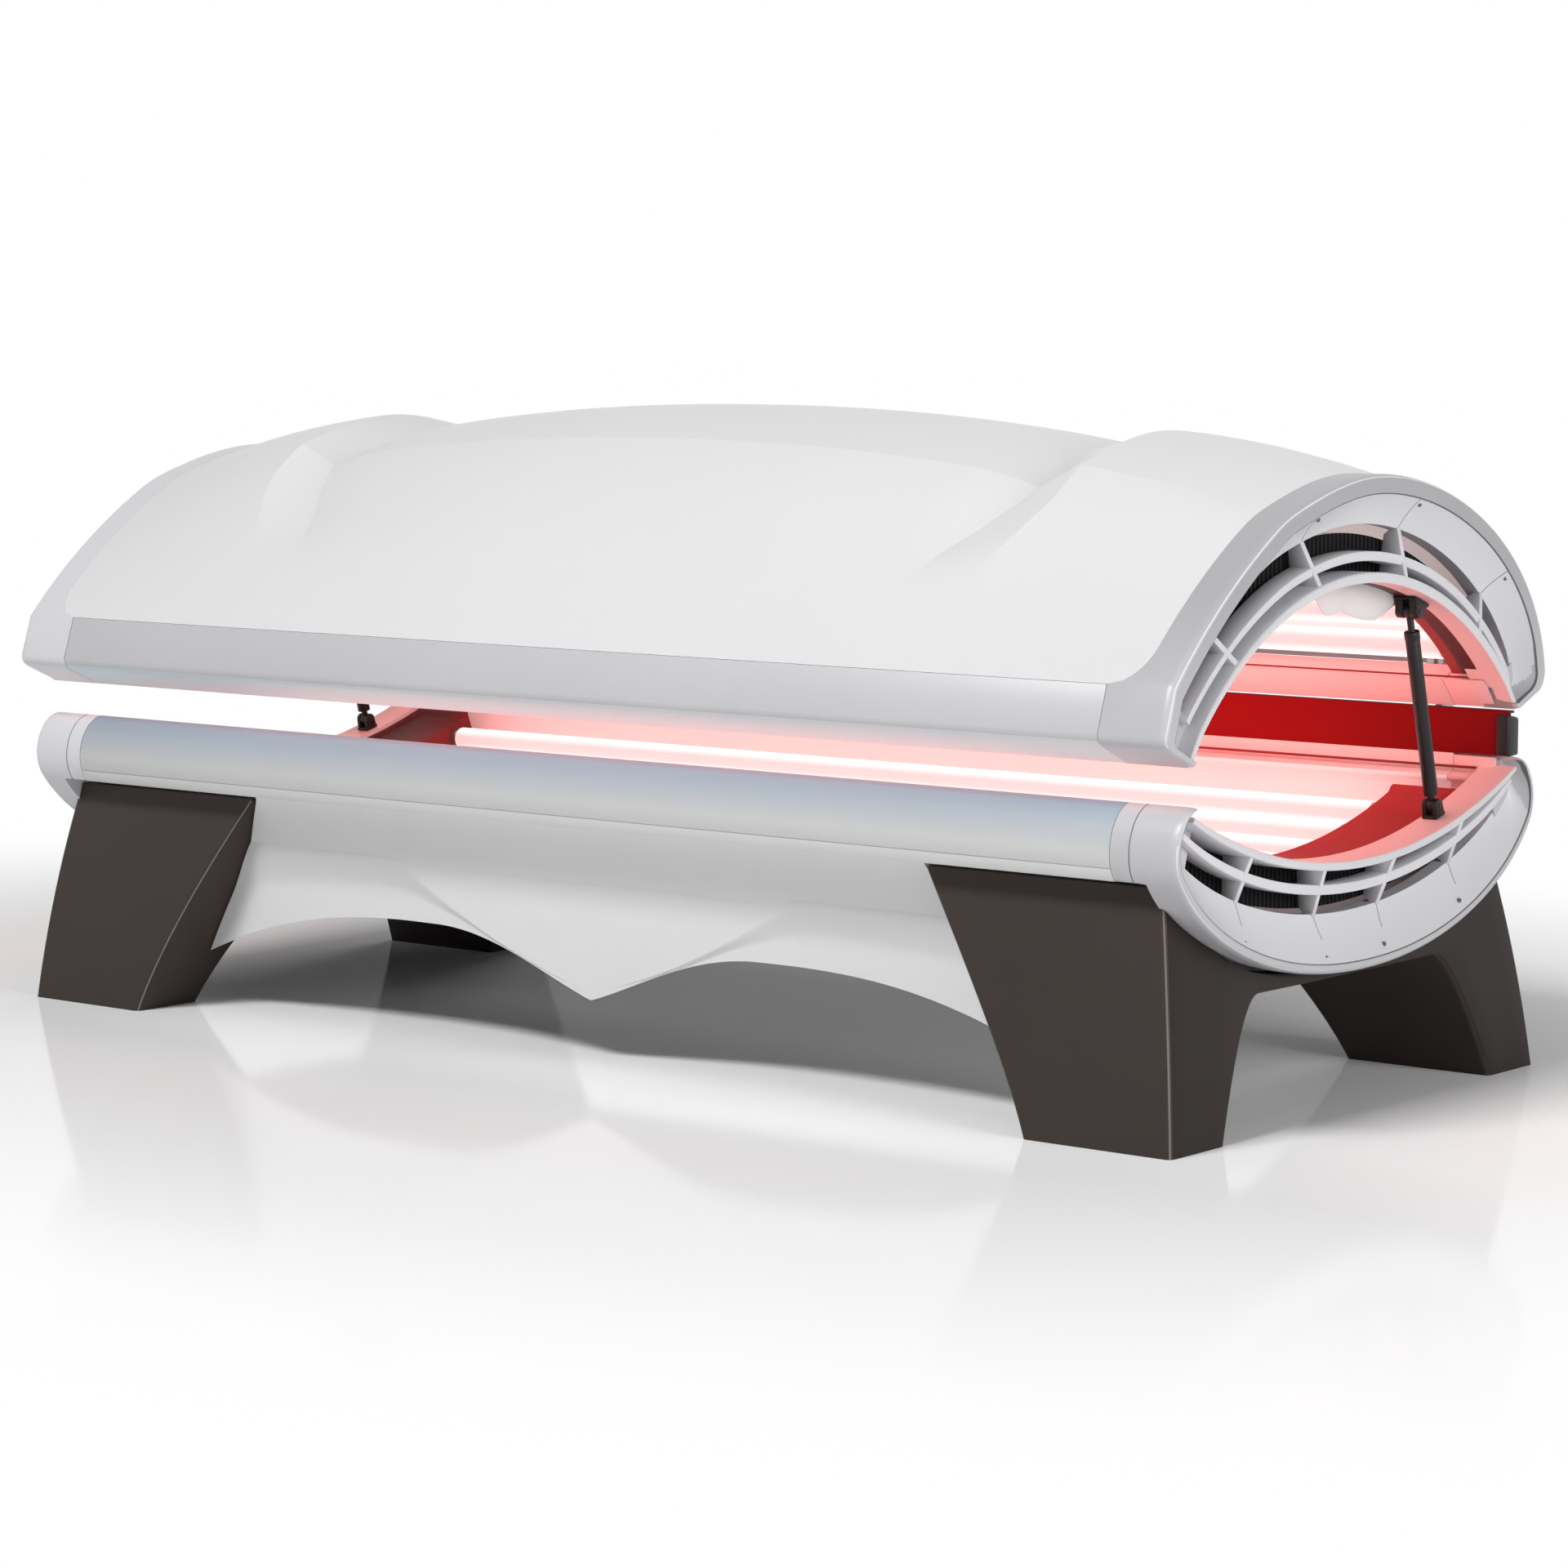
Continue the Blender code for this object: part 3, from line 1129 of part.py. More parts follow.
def build_gas_springs():
    """Gas springs at both ends: cylinder on the bench, rod on the canopy."""
    lower_seat = bed(0.0, math.degrees(math.asin(LOWER_PIVOT[0] / BED_RADIUS)))
    upper_turn = math.degrees(math.atan2(UPPER_PIVOT[0], UPPER_PIVOT[1] - ARCH_CENTRE_Z))
    upper_seat = arch(0.0, upper_turn)
    ring = lifted(bench_vent())
    add_pair("gas_spring_lower_mount", pivot_mount(LOWER_PIVOT, lower_seat, ring), BLACK, BENCH)
    ring = lifted(canopy_vent())
    add_pair("gas_spring_upper_mount", pivot_mount(UPPER_PIVOT, upper_seat, ring), BLACK, CANOPY)
    low = Vector((STRUT_X, *LOWER_PIVOT))
    high = Vector((STRUT_X, *UPPER_PIVOT))
    run = (high - low).normalized()
    length = (high - low).length
    half = Vector((EYE_WIDTH / 2, 0.0, 0.0))
    mouth = low + run * (length - ROD_EXPOSED)
    floor = low + run * (CYLINDER_FOOT + BORE_FLOOR)
    barrel = rod(low + run * CYLINDER_FOOT, mouth, CYLINDER_RADIUS)
    neck = rod(low, low + run * (CYLINDER_FOOT + BORE_FLOOR / 2), ROD_RADIUS)
    eye = rod(low - half, low + half, STRUT_EYE)
    bore = rod(floor, mouth + run * BORE_FLOOR, ROD_RADIUS + SLIDE_PLAY)
    hole = rod(low - 2 * half, low + 2 * half, PIVOT_PIN + PIN_PLAY)
    cylinder = cut(union(barrel, neck, eye), bore, hole)
    add_pair("gas_spring_cylinder", cylinder, BLACK, CYLINDER_RIGHT, CYLINDER_LEFT)
    stem = rod(floor + run * SLIDE_PLAY, high, ROD_RADIUS)
    eye = rod(high - half, high + half, STRUT_EYE)
    hole = rod(high - 2 * half, high + 2 * half, PIVOT_PIN + PIN_PLAY)
    add_pair("gas_spring_rod", cut(union(stem, eye), hole), BLACK, ROD_RIGHT, ROD_LEFT)


def build_chassis():
    """Steel ladder on the floor of the tub, with the ballast tray between its rails."""
    low = TUB_FLOOR + TUB_WALL + GAP
    high = low + CHASSIS_HEIGHT
    half = RAIL_HALF
    inner, outer = CHASSIS_Y - CHASSIS_WIDTH / 2, CHASSIS_Y + CHASSIS_WIDTH / 2
    front = box((-half, -outer, low), (half, -inner, high))
    rest = [box((-half, inner, low), (half, outer, high))]
    for x in (-CHASSIS_CROSS_X, 0.0, CHASSIS_CROSS_X):
        rest.append(box((x - CHASSIS_WIDTH / 2, -CHASSIS_Y, low), (x + CHASSIS_WIDTH / 2, CHASSIS_Y, high)))
    add_part("bench_chassis", union(front, *rest), ZINC, BENCH)
    side = inner - BALLAST_RADIUS_GAP
    tray = box((BALLAST_START, -side, low), (BALLAST_START + BALLAST_LENGTH, side, low + BALLAST_HEIGHT))
    add_part("ballast_tray", tray, ZINC, BENCH)


def build_fan():
    """Cooling fan over the opening in the tub: guarded housing and a turning rotor."""
    low = TUB_FLOOR + TUB_WALL + GAP
    high = low + FAN_HEIGHT

    def upright(bottom, top, radius, sides=FINE_SIDES):
        return rod((FAN_X, 0.0, bottom), (FAN_X, 0.0, top), radius, sides)

    hollow = upright(low - FAN_WALL, high + FAN_WALL, FAN_RADIUS - FAN_WALL)
    housing = cut(upright(low, high, FAN_RADIUS), hollow)
    reach = FAN_RADIUS - FAN_WALL / 2
    bar = GUARD_BAR / 2
    bars = [box((FAN_X - reach, -bar, low), (FAN_X + reach, bar, low + GUARD_BAR)),
            box((FAN_X - bar, -reach, low), (FAN_X + bar, reach, low + GUARD_BAR))]
    motor = upright(low, low + 2 * GUARD_BAR, FAN_HUB)
    shaft = upright(low, high - GUARD_BAR, FAN_SHAFT, ROUND_SIDES)
    add_part("fan_housing", union(housing, *bars, motor, shaft), BLACK, BENCH)
    seat = low + 2 * GUARD_BAR + SLIDE_PLAY
    crown = high - GUARD_BAR
    hub = upright(seat, crown, FAN_HUB)
    blades = []
    tip = FAN_RADIUS - FAN_WALL - FAN_TIP_GAP
    middle = (seat + crown) / 2
    half = (crown - seat) / 2 - GUARD_BAR / 2
    chord = min(FAN_BLADE_WIDTH / 2, half / math.sin(math.radians(FAN_BLADE_PITCH)))
    for i in range(FAN_BLADES):
        blade = box((FAN_HUB - GUARD_BAR, -chord, -FAN_BLADE_THICKNESS / 2),
                    (math.sqrt(tip ** 2 - chord ** 2), chord, FAN_BLADE_THICKNESS / 2))
        pitch = Matrix.Rotation(math.radians(FAN_BLADE_PITCH), 4, "X")
        turn = Matrix.Rotation(2 * math.pi * i / FAN_BLADES, 4, "Z")
        blade.transform(Matrix.Translation((FAN_X, 0.0, middle)) @ turn @ pitch)
        blades.append(blade)
    bore = upright(seat - FAN_WALL, crown + FAN_WALL, FAN_SHAFT + PIN_PLAY, ROUND_SIDES)
    add_part("fan_rotor", cut(union(hub, *blades), bore), BLACK, FAN_AXIS)


def build_inlet():
    """Mains inlet gland on the back of the rear rail."""
    face = RAIL_BACK_Y + GAP
    middle = RAIL_TOP - RAIL_HEIGHT / 2
    plate = box((INLET_X - INLET_WIDTH / 2, face, middle - INLET_HEIGHT / 2),
                (INLET_X + INLET_WIDTH / 2, face + INLET_PLATE, middle + INLET_HEIGHT / 2))
    gland = rod((INLET_X, face, middle), (INLET_X, face + INLET_LENGTH, middle), INLET_RADIUS)
    add_part("mains_inlet", union(plate, gland), BLACK, BENCH)


def main():
    """Build every piece of the bed."""
    build_legs()
    build_tub()
    build_skirt()
    build_rails()
    build_end_frames()
    build_sheets()
    build_lamps()
    build_canopy_shell()
    build_hinge()
    build_rear_panel()
    build_gas_springs()
    build_chassis()
    build_fan()
    build_inlet()


main()
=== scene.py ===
"""Looks of the red light therapy bed, laid out as a Blender add-on.

X runs along the bench, the user climbs in from -Y, Z is up, and the origin lies on the floor
under the middle. Lengths are in metres, angles in degrees. Outlines are (y, z) points. Pieces at
the ends are made for the right end and mirrored for the left one.
"""

import math
from functools import partial

import bpy
from bpy.props import FloatProperty, FloatVectorProperty, PointerProperty
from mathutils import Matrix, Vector
from mathutils.geometry import interpolate_bezier


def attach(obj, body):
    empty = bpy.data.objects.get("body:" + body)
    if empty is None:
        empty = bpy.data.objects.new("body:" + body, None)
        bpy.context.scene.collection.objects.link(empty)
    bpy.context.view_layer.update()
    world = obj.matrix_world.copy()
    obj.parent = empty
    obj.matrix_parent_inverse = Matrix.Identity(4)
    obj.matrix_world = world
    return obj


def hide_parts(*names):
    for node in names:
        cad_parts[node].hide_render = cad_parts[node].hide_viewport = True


bl_info = {
    "name": "Red Light Therapy Bed",
    "version": (1, 0, 0),
    "blender": (4, 5, 0),
    "location": "3D View > Sidebar > Therapy Bed",
    "description": "Models the visible pieces of a red light therapy bed over its CAD solids",
    "category": "Object",
}

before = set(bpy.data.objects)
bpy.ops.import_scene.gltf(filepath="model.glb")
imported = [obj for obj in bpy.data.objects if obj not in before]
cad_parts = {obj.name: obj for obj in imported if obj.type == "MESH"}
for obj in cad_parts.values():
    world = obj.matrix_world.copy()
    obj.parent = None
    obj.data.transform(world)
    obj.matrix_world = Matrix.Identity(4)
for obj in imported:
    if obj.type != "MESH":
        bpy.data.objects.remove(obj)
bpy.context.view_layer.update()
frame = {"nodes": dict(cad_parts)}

# Clearance between pieces and the seam left open at the ends of the rails
GAP = 0.0003
SEAM = 0.0009

# Length of the bed, from its middle outwards
HALF_LENGTH = 1.107
SHELL_HALF = 1.050
RAIL_HALF = 1.000
SHEET_HALF = 1.045
FRAME_IN = SHELL_HALF + GAP
RING_IN = SHEET_HALF + GAP
RING_OUT = 1.102
GRILLE_BACK = 0.004
GRILLE_IN = FRAME_IN + GRILLE_BACK
WEB_IN = FRAME_IN + GRILLE_BACK / 2
GRILLE_X = 1.073
SCOOP_X = 1.086
WEB_X = 1.076
BLADE_X = 1.089
LINER_X = 1.066
CAP_LINE_X = 1.030
NOSE_INSET = 0.008
NOSE_LENGTH = 0.014

# Lying surface and rails of the bench
BED_RADIUS = 0.980
BED_CENTRE_Z = 1.332
BED_HALF_WIDTH = 0.412
BED_SHEET = 0.006
BED_EDGE_ANGLE = math.degrees(math.asin(BED_HALF_WIDTH / BED_RADIUS))
RAIL_TOP = BED_CENTRE_Z - BED_RADIUS * math.cos(math.radians(BED_EDGE_ANGLE)) + 0.018
RAIL_BOTTOM = RAIL_TOP - 0.103
RAIL_INNER_Y = BED_HALF_WIDTH * (1.0 + BED_SHEET / BED_RADIUS) + 0.0005
RAIL_LIP_Y = 0.423
RAIL_FOOT_Y = 0.457
RAIL_BACK_Y = 0.472
RAIL_BROW = (-0.463, RAIL_TOP - 0.006)
RAIL_CHIN = (-0.485, RAIL_BOTTOM + 0.037)
RAIL_WALL = 0.006
RAIL_FLANGE = 0.027
LEDGE_WIDTH = 0.014
LEDGE_TIP = 5

# Seals along the rear edges of the clear sheets: where they start and end before that edge
SEAL_PLAY = 0.002
SEAL_HEIGHT = 0.0018
SEAL_START_ANGLE = 0.36
SEAL_END_ANGLE = 0.08

# Belly of the bench's end frames, tub and skirt
BELLY_LOW = 0.196
BELLY_SIDE = (-0.390, RAIL_BOTTOM - 0.093)
BELLY_FLAT = 0.220
TUB_FLOOR = 0.206
TUB_EDGE = (-0.395, RAIL_BOTTOM - GAP)
TUB_SIDE = (-0.375, RAIL_BOTTOM - GAP - 0.107)
TUB_FLAT = 0.110
TUB_BEND = 0.150
SKIRT_WALL = 0.004
SKIRT_TOP_Y = -0.420
SKIRT_EDGE_Y = -0.350
SKIRT_HOLLOW = 0.012
HOLLOW_FADE = 0.5
SKIRT_PLAY = 0.003
SKIRT_TAIL = 0.088
VALLEY_DROP = 0.092
VALLEY_DEPTH = 0.019
VALLEY_LEAN = 0.15
KEEL_HEIGHT = 0.090
KEEL_EDGE = 0.016
KEEL_BEND = 1.1
SCALLOP_HEIGHT = 0.176
SCALLOP_HALF = 0.340
FOLD_DROP = 0.083
FOLD_HALF = 0.450
FOLD_BEND = 1.3

# Leg arches; the facets in the middle of a section's two outer corners carry a painted highlight
LEG_TOP = RAIL_BOTTOM - 0.009
LEG_TOP_OUT = SHELL_HALF + 0.003
LEG_TOP_Y = 0.421
LEG_EDGE = ((0.657, LEG_TOP), (0.732, LEG_TOP - 0.108), (0.825, 0.105), (0.865, 0.0))
LEG_BOW = ((0.348, 0.0), (0.310, 0.100), (0.262, TUB_FLOOR - 0.018), (0.225, TUB_FLOOR - 0.018))
LEG_BULGE = 0.007
LEG_HIGHLIGHT_FACETS = (11, 17)
LEG_ROUND_LIMIT = 0.4
LEG_FLAT = (0.75, 0.5, 0.25)
BOW_SPLIT = 1.2
FOOT_FRONT = 0.478
CUT_MARGIN = 0.050

# Canopy: tunnel, groove for its sheet, strip under the shell, rear edge
LIP_Z = RAIL_TOP + 0.052
TUNNEL_RADIUS = 0.536
ARCH_FRONT_ANGLE = math.degrees(math.asin(0.408 / TUNNEL_RADIUS))
ARCH_REAR_ANGLE = math.degrees(math.asin(0.388 / TUNNEL_RADIUS))
ARCH_CENTRE_Z = LIP_Z + 0.033 - TUNNEL_RADIUS * math.cos(math.radians(ARCH_FRONT_ANGLE))
CANOPY_SHEET = 0.005
GROOVE_LIP = 0.0038
GROOVE_PLAY = 0.0010
GROOVE_WALL = 0.0165
GROOVE_REACH_ANGLE = 1.2
GROOVE_PLAY_ANGLE = 0.1
LIP_Y = 0.430
STRIP_Y = 0.499
STRIP_BOTTOM = 0.045
STRIP_TOP = 0.109
STRIP_ROUND = ((0.011, 0.018), (0.003, 0.013), (-0.0002, 0.009))
REAR_RAIL_Y = 0.430
REAR_RAIL_LOW = LIP_Z + 0.018
REAR_RAIL_HIGH = REAR_RAIL_LOW + 0.059
HEEL_IN = 0.014
HEEL_DROP = 0.030
HEEL_ROUND = 0.012
HEEL_EASE = (0.009, 0.008)

# Crest of the canopy along its length: middle, dips, humps, ends
CREST_END = 0.371
CREST_HUMP = 0.423
CREST_DIP = 0.407
CREST_MID = 0.452
CREST_BEND = 2.2
END_BEND = 1.6
SWEEP_BEND = 2.6
DIP_X = 0.640
HUMP_X = 0.755

# Section of the shell: foot, brow, crest and rear edge with two handles between each, as y, height
# over the lip and share of the crest's rise
SHELL_WALL = 0.004
SHELL_FOOT_Y = 0.478
SHELL_REAR_Y = 0.499
SHELL_REAR_RISE = 0.072
CORNER_RADIUS = 0.050
SHELL_SECTION = ((-SHELL_FOOT_Y, STRIP_TOP, 0.0), (-0.400, 0.197, 0.4), (-0.300, 0.272, 0.8),
                 (-0.200, 0.325, 1.0), (-0.120, 0.349, 1.0), (-0.050, CREST_END, 1.0),
                 (0.030, CREST_END, 1.0), (0.220, CREST_END, 1.0), (0.470, 0.267, 0.5),
                 (SHELL_REAR_Y, SHELL_REAR_RISE, 0.0))
BROW_PASSES = 12
BROW_BEFORE = 7
BROW_AFTER = 5
BROW_FADE = (0.80, SHELL_HALF - 0.02)

# Creases beside the humps: where valley and ridge start at the shell's foot, how far they swing
# outwards, and the shares of the way up to the brow over which they do
VALLEY_START, VALLEY_SWING, VALLEY_SPAN = 0.605, 0.085, (0.40, 1.05)
RETURN_SWING, RETURN_SPAN = 0.040, (1.05, 1.30)
RIDGE_START, RIDGE_SWING, RIDGE_SPAN = 0.680, 0.080, (0.20, 0.85)
CREASE_DEEPER = 0.012
CREASE_LIP = 0.006
CREASE_REACH = 0.110
CREASE_BEGIN = (0.30, 0.75)
CREASE_FINISH = (1.45, 1.10)
RELIEF_SPAN = (0.18, 0.73)

# Grilles: width of the lip, then shares of the way from the outer edge to the ring where the cove,
# the blade, the gap after it and the ring begin
BED_SHARES = (0.014, 0.52, 0.70, 0.79, 0.92)
CANOPY_SHARES = (0.026, 0.46, 0.71, 0.80, 0.90)
BED_RIB_ANGLES = (-16.35, -5.45, 5.45, 16.35)
CANOPY_RIB_ANGLES = (-35.55, -11.85, 11.85, 35.55)
LIP_FALL = 0.0012
LIP_LIMIT = 0.6
SEAM_DEPTH = 0.003
SHORT_SEAM_LIP = 0.020
RIB_HALF = 0.0045
RIB_BACK = 0.004
RIB_SOFT = 0.0008
RIB_PLAY = 0.001
RIB_ROOT_SHARE = 0.03
RIB_END_SHARE = 0.97
SLIM_HALF = 0.002
RING_ROUND = 0.003
RING_OVERRUN_ANGLE = 0.6
RING_CROWDING = 0.8
BLADE_ROUND = 0.002
WEB_ROUND = 0.001
WEB_SHARE = 0.06
BED_WEB, CANOPY_WEB = 4, 2
COVE_IN = SCOOP_X - 0.02
CAP_INSET = 0.0007
CAP_EDGE = 0.0006
CAP_LINE_DEPTH = 0.0010
CAP_LINE_PROUD = 0.0002
SCREW_STEP = 2
SCREW_ASIDE = 0.010
SCREW_LEVELS = ((1.0, -0.002), (1.0, 0.0), (0.9, 0.0009), (0.6, 0.0013), (0.45, 0.0013), (0.42, 0.0001))

# Lamps and reflectors
LAMP_RADIUS = 0.019
LAMP_CAP_RADIUS = 0.017
LAMP_CAP_LENGTH = 0.014
LAMP_CAP_OVERLAP = 0.004
LAMP_EDGE = 0.0015
LAMP_DEPTH = 0.012 + LAMP_RADIUS
BED_LAMPS = 9
BED_LAMP_HALF = 0.930
BED_LAMP_ANGLE = 19.2
CANOPY_LAMPS = 11
CANOPY_LAMP_HALF = 1.015
CANOPY_LAMP_ANGLE = 42.5
REFLECTOR_DEPTH = LAMP_RADIUS + 0.010
REFLECTOR_WALL = 0.0025
BED_REFLECTOR_ANGLE = 20.8
CANOPY_REFLECTOR_ANGLE = 45.0

# Covers over the lamp sockets
COVER_PLAY = 0.0006
COVER_DEPTH = LAMP_DEPTH + REFLECTOR_DEPTH + REFLECTOR_WALL
TRAY_PLAY = 0.002
TRAY_END_RIM = 0.010
TRAY_SIDE_RIM = 0.012
TRAY_SINK = 0.005
TRAY_SLOPE = 0.004
LOBE_BEND = 0.7
SHROUD_LOBES = (-3.5, 1.5)
SHROUD_OVERHANG = 0.006
SHROUD_SCALLOP = 0.022
SHROUD_WALL = 0.002
SHROUD_FADE = 0.1
CROWN_ANGLES = (-6.0, 22.0)
CROWN_X = 1.044
CROWN_TUCK = 0.008
CROWN_WALL = 0.003
CROWN_DROP = 0.004
CROWN_HANG = 0.044
CROWN_LOBES = 2.5
CROWN_SCALLOP = 0.18
CROWN_FADE = 0.25
LINER_PROUD = 0.0008
LINER_ANGLES = (3.0, ARCH_REAR_ANGLE - 3.5)

# Rear panel and the blocks at its ends
PANEL_FACE_Y = 0.418
BLOCK_FRONT_Y = 0.413
BLOCK_BACK_Y = 0.444
BLOCK_FRONT_HEIGHT = 0.062
BLOCK_BACK_HEIGHT = 0.056
BLOCK_LENGTH = 0.022

# Gas springs, from their lower pivot to their upper one, and their mounts
STRUT_X = SHEET_HALF + 0.019
LOWER_PIVOT = Vector((STRUT_X, 0.249, 0.402784))
UPPER_PIVOT = Vector((STRUT_X, 0.177057, 0.685003))
STRUT_EYE = 0.009
EYE_WIDTH = 0.010
EYE_HOLE = 0.0043
EYE_OVERLAP = 0.001
BARREL_RADIUS = 0.0105
GLAND_LENGTH = 0.012
GLAND_PROUD = 0.0008
NECK_OVERLAP = 0.004
CYLINDER_FOOT = 0.016
ROD_RADIUS = 0.005
ROD_EXPOSED = 0.030
ROD_START = 0.020
MOUNT_SEAT = GAP + 0.0005
MOUNT_PLATE = 0.005
CHEEK_PLAY = 0.0006
CHEEK_START = 0.004
CHEEK_RADIUS = 0.010
CHEEK_TAPER = 0.85
PIN_RADIUS = 0.004
PIN_PROUD = 0.001
LOWER_MOUNT = (0.0120, 0.013)
UPPER_MOUNT = (0.0180, 0.020)

# Radii of the edges that aren't the user's to change
LINER_EDGE = 0.0003
ROD_EDGE = 0.0006
SHEET_EDGE = 0.0008
SPRING_EDGE = 0.0008
STEEL_EDGE = 0.0009
MOUNT_EDGE = 0.0010
BLOCK_EDGE = 0.004

# How squarely faces must look a way, as a share of 1, to wear another finish of their piece
COVE_FACING = 0.5
# Faces of rings, rails and caps that look into the tunnel past these get painted lamp light
RING_FACING = 0.7
LIT_FACING = 0.3
# Downward faces of the canopy strip past this get a painted floor reflection
LIP_FACING = -0.45
END_FACING = 0.9
# Front corner facets of the legs past this get a painted highlight
FRONT_FACING = -0.1
PANEL_FACING = -0.8

# Stage: floor with the range of its shine and of its fade into the backdrop, lights with their place,
# target, width, height and power, and the camera of the photograph
FLOOR_SIZE = 60.0
FLOOR_TONE = (0.82, 0.82, 0.82)
FLOOR_ROUGHNESS = 0.08
FLOOR_SHINE = (-0.62, -0.30, 0.20, 0.05)
FLOOR_OVAL = (0.75, 1.0, 1.0)
FLOOR_FADE = (0.7, 2.4)
SOFT_BOXES = (("key_light", (0.2, -4.1, 5.1), (0.0, 0.0, 0.5), 1.8, 1.4, 256.0),
              ("side_light", (5.2, -0.6, 1.9), (1.0, 0.0, 0.55), 2.4, 2.4, 110.0),
              ("back_light", (-1.8, 5.0, 2.8), (0.0, 0.0, 0.6), 2.4, 1.6, 42.0))
ROOM_LIGHT = (0.045, 0.045, 0.046)
CAMERA_PLACE = (4.293, -5.232, 1.110)
CAMERA_TURN = (90.0 - 6.14, 0.0, 38.91)
CAMERA_LENS = 101.34
CAMERA_SENSOR = 36.0

# Fineness of the curves
FACE_STEPS = 48
TOP_STEPS = 14
BACK_STEPS = 32
BELLY_STEPS = 28
NOSE_STEPS = 28
LEG_STEPS = 28
ARC_STEPS = 72
COVE_STEPS = 12
BAND_NOSE_STEPS = 7
SLAB_ROUND_STEPS = 4
LEG_ROUND_STEPS = 5
BULGE_STEPS = 12
BEND_STEPS = 6
RIB_STEPS = 6
CHEEK_STEPS = 8
FOLD_ROWS = 8
HOLLOW_ROWS = 28
SCALLOP_STEPS = 120
SKIRT_COLUMNS = 90
DOME_COLUMNS = 32
CREASE_COLUMNS = 14
END_COLUMNS = 20
TRAY_ROWS = 96
TRAY_COLUMNS = 40
TUBE_SIDES = 40
LAMP_SIDES = 28
SCREW_SIDES = 18
PIN_SIDES = 20


# Outlines

def shares(steps, first=0):
    """Even shares of a way, from its start or a later step to its end."""
    return [i / steps for i in range(first, steps + 1)]


def part_way(start, end, share):
    """Number at a share of the way between two others."""
    return start + (end - start) * share


def ramp(value, start, end):
    """Share that leaves 0 at a start and reaches 1 at an end without a corner."""
    share = min(max((value - start) / (end - start), 0.0), 1.0)
    return share * share * (3.0 - 2.0 * share)


def quarter(steps):
    """Sine and cosine at even steps through a quarter turn."""
    return [(math.sin(math.pi / 2 * share), math.cos(math.pi / 2 * share)) for share in shares(steps)]


def bed(depth, angle):
    """Point at a depth under the lying surface, at an angle from straight down."""
    reach, turn = BED_RADIUS + depth, math.radians(angle)
    return reach * math.sin(turn), BED_CENTRE_Z - reach * math.cos(turn)


def arch(height, angle):
    """Point at a height over the tunnel surface, at an angle from straight up."""
    reach, turn = TUNNEL_RADIUS + height, math.radians(angle)
    return reach * math.sin(turn), ARCH_CENTRE_Z + reach * math.cos(turn)


def arc_band(layer, inner, outer, start, end):
    """Closed outline between two concentric layers of the bed or the arch."""
    angles = [part_way(start, end, share) for share in shares(ARC_STEPS)]
    return [layer(inner, angle) for angle in angles] + [layer(outer, angle) for angle in reversed(angles)]


def curve(start, start_handle, end_handle, end, steps):
    """Points along a cubic curve with two handles."""
    knots = [Vector((*point, 0.0)) for point in (start, start_handle, end_handle, end)]
    return [(point.x, point.y) for point in interpolate_bezier(*knots, steps + 1)]


def mirrored(points):
    """The same points on the other side of the bed, in reverse order."""
    return [(-y, z) for y, z in reversed(points)]


def offset_path(points, distance):
    """Open path moved to its left by a distance."""
    normals = []
    for (y0, z0), (y1, z1) in zip(points, points[1:]):
        normals.append(Vector((z0 - z1, y1 - y0)).normalized())
    moved = []
    for index, point in enumerate(points):
        before = normals[max(index - 1, 0)]
        after = normals[min(index, len(normals) - 1)]
        middle = (before + after).normalized()
        moved.append(tuple(Vector(point) + middle * (distance / middle.dot(after))))
    return moved


def inset(outline, distance):
    """Closed outline moved inwards by a distance."""
    area = sum(y0 * z1 - y1 * z0 for (y0, z0), (y1, z1) in zip(outline, outline[1:] + outline[:1]))
    ring = outline[-1:] + outline + outline[:1]
    return offset_path(ring, math.copysign(distance, area))[1:-1]


def lengths_along(points):
    """Length of a path up to each of its points."""
    lengths = [0.0]
    for start, end in zip(points, points[1:]):
        lengths.append(lengths[-1] + math.dist(start, end))
    return lengths


def resampled(points, steps):
    """Points spread evenly along an open path."""
    lengths = lengths_along(points)
    spread, index = [], 0
    for share in shares(steps):
        wanted = lengths[-1] * share
        while index < len(points) - 2 and lengths[index + 1] < wanted:
            index += 1
        local = (wanted - lengths[index]) / (lengths[index + 1] - lengths[index])
        spread.append(tuple(Vector(points[index]).lerp(Vector(points[index + 1]), local)))
    return spread


def rail_nose():
    """Rounded outside of the bench's front rail, from its lip down to its foot."""
    return curve((-RAIL_LIP_Y, RAIL_TOP), RAIL_BROW, RAIL_CHIN, (-RAIL_FOOT_Y, RAIL_BOTTOM), NOSE_STEPS)


def ledge(side):
    """Inner side of a bench rail, from its bottom flange up to the wall beside the sheet."""
    rest = BED_SHEET + GAP
    tip, wall = (bed(rest, math.degrees(math.asin(y / (BED_RADIUS + rest))))
                 for y in (BED_HALF_WIDTH - LEDGE_WIDTH, RAIL_INNER_Y))
    flange = RAIL_INNER_Y - RAIL_FLANGE
    web = RAIL_INNER_Y - RAIL_WALL / 2
    floor = RAIL_BOTTOM + RAIL_WALL
    points = [(flange, RAIL_BOTTOM), (flange, floor), (web, floor), (web, tip[1] - 2 * RAIL_WALL),
              (tip[0], tip[1] - RAIL_WALL), tip, wall]
    return [(side * y, z) for y, z in points]


def front_rail_outline():
    """Section of the bench's front rail."""
    return rail_nose() + ledge(-1) + [(-RAIL_INNER_Y, RAIL_TOP - RAIL_WALL / 2)]


def rear_rail_outline():
    """Section of the bench's rear rail."""
    return ledge(1) + [(RAIL_INNER_Y, RAIL_TOP), (RAIL_BACK_Y, RAIL_TOP), (RAIL_BACK_Y, RAIL_BOTTOM)]


def belly_contour():
    """Lower outline of the bench's end frames, from the front rail to the rear rail."""
    low = ((-BELLY_FLAT, BELLY_LOW), (0.0, BELLY_LOW))
    half = curve((-RAIL_FOOT_Y, RAIL_BOTTOM), BELLY_SIDE, *low, BELLY_STEPS)
    return half + mirrored(half)[1:]


